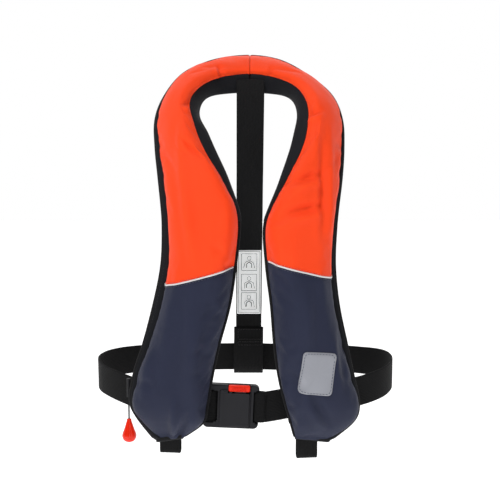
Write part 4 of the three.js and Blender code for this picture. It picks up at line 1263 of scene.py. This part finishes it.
def make_buckle():
    blank = slab_rings(75, 70, 15, (1.2, 8, 8, 1.2), 2.0, (-6.5, 0, 0))
    body = grid_piece("buckle_shell", in_buckle(blank), BUCKLE_PLASTIC, slot="buckle_plastic",
                      replaces=["buckle_housing"])
    carve(
        body,
        cutter((-28.5, -20, -25.2), (-21.5, 20, 25.2), 1.5),
        cutter((-46, -20, -27), (-27.5, -3, 27), 0.3), cutter((-46, 3, -27), (-27.5, 20, 27), 0.3),
        cutter((3.6, -3.2, -17.4), (45, 3.2, 17.4), 1),
        cutter((-5.6, -8.9, 18.4), (29.6, -0.3, 39.2), 2),
        cutter((3.3, -1.3, 12.4), (24.7, 3.4, 31.8), 0.3),
    )
    face = slab_rings(48, 59.5, 3.4, 4, 1.6, (5.2, -8.0, -2.25), steps=6)
    panel = grid_piece("buckle_face", in_buckle(face), BUCKLE_PLASTIC, slot="buckle_plastic",
                       replaces=["buckle_front_panel"])
    carve(
        panel,
        cutter((-6, -14, 22.4), (40, 4, 45), 1.5),
        cutter((-5.6, -8.65, 18.0), (29.6, 4, 30), 1.0),
        cutter((-12.6, -14, -27), (-11.8, -9.3, 21), 0.4),
        cutter((-20, -14, -40), (-17.2, -9.0, 40), 0.4),
    )
    button = slab_rings(34, 10, 7.4, 2.4, 1.6, (12, -4.6, 29.5), steps=5)
    lower = button[..., 2] < 27
    button[..., 2] -= lower * 1.6 * np.clip(1 - ((button[..., 0] - 12) / 15) ** 2, 0, 1)
    grid_piece("button_cap", in_buckle(button), RED_PLASTIC, body="button", slot="red_plastic",
               replaces=["release_button"])
    for k in range(3):
        rib = slab_rings(22, 0.9, 0.8, 0.4, 0.3, (12, -8.4, 27.4 + 2.2 * k), 4, 2)
        grid_piece(f"button_rib_{k}", in_buckle(rib), RED_PLASTIC, body="button", slot="red_plastic")
    end = slab_rings(13.6, 70, 13.6, (8, 1, 1, 8), 1.6, (37.2, 0, 0))
    flange = grid_piece("tongue_flange", in_buckle(end), BUCKLE_PLASTIC, body="buckle_male",
                        slot="buckle_plastic",
                        replaces=["buckle_tongue"])
    carve(
        flange,
        cutter((35.1, -20, -25.2), (39.5, 20, 25.2), 1.2),
        cutter((38.9, -20, -27), (46, -3, 27), 0.3), cutter((38.9, 3, -27), (46, 20, 27), 0.3),
    )
    blade = grid_piece("tongue_blade", in_buckle(slab_rings(28.4, 34, 5.6, 2.5, 1.0, (18.3, 0, 0))),
                       BUCKLE_PLASTIC,
                       body="buckle_male", slot="buckle_plastic")
    carve(blade, cutter((2, -5, 12.5), (24.5, 5, 20), 0.5))


# ---------------------------------------------------------------- cord and toggle

CORD = (-195.0, -129.0)
CORD_TOP = -464.0
CORD_EXIT = -490.0
TOGGLE_TOP = -527.0
TOGGLE_OUTLINE = [(3, 0), (4.6, -5), (7.8, -15), (11.5, -27), (8.8, -34.3), (4, -37.1), (0.05, -37.5)]


def make_cord():
    x, y = CORD
    toggle_line = catmull(TOGGLE_OUTLINE, np.linspace(0, 1, 40))
    outline = [(0.05, 0.9), (2.2, 0.9), (3.3, 0.5), (3.6, -0.6)] + [tuple(p) for p in toggle_line[4:]]

    def fluted(angle, z):
        depth = 0.05 * smoothstep(np.array(-z), 8, 14) * (1 - smoothstep(np.array(-z), 27, 33))
        grooves = sum(math.exp(-((angle - a) / 0.13) ** 2) for a in (1.37 * math.pi, 1.63 * math.pi))
        return 1 - float(depth) * grooves

    points = lathe(outline, 64, fluted) + np.array((x, y, TOGGLE_TOP))
    toggle = grid_piece("toggle_drop", points * MM, TOGGLE_PLASTIC, body="toggle", slot="red_plastic",
                        replaces=["pull_toggle"])
    path = [(x * MM, y * MM, z * MM) for z in np.linspace(CORD_EXIT, TOGGLE_TOP - 1.2, 26)]
    lanyard = tube("lanyard", np.array(path), 1.25 * MM, WEBBING, body=None, slot="black_webbing",
                   replaces=["pull_cord_lower"])
    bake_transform(lanyard)
    upper = np.array([(x, y, z) for z in np.linspace(CORD_TOP, CORD_EXIT, 20)]) * MM
    tube("lanyard_upper", upper, 1.25 * MM, WEBBING, body="pull_cord", slot="black_webbing",
         replaces=["pull_cord_upper"])
    knot = lathe([(0.05, 1.6), (1.5, 1.4), (2.1, 0.6), (2.2, -0.6), (1.5, -1.4), (0.05, -1.6)], 20)
    grid_piece("lanyard_stop", (knot + np.array((x, y, CORD_TOP))) * MM, WEBBING, body="pull_cord",
               slot="black_webbing")


# ---------------------------------------------------------------- pieces that keep their CAD shape

KEPT = {
    "latch_plate": STEEL, "button_spring": STEEL, "co2_cylinder": ZINC, "inflator_body": BLACK_PLASTIC,
    "piercing_pin": STEEL, "pin_spring": STEEL, "sensor_cap": YELLOW_PLASTIC,
    "water_sensing_bobbin": WHITE_PLASTIC,
    "manual_lever": BLACK_PLASTIC, "lever_pivot": STEEL, "oral_tube": TUBE_RUBBER,
    "oral_valve": WHITE_PLASTIC,
    "tube_cap": BLACK_PLASTIC, "whistle": WHISTLE_PLASTIC, "light_battery": BLACK_PLASTIC,
    "light_lamp": LENS_PLASTIC,
    "light_cable": BLACK_PLASTIC, "closure_loop_tape_right": PILE, "closure_loop_tape_left": PILE,
    "closure_hook_tape_right": PILE, "closure_hook_tape_left": PILE, "cord_sleeve": BLACK_PLASTIC,
}


def dress_kept_nodes():
    for name, material in KEPT.items():
        node = NODES[name]
        node.data.materials.clear()
        node.data.materials.append(material)


make_camera()
make_cord()
make_studio()
make_covers()
make_piping()
make_patch()
make_bladder()
make_edges()
make_webbing()
make_loops()
make_label()
make_buckle()
dress_kept_nodes()
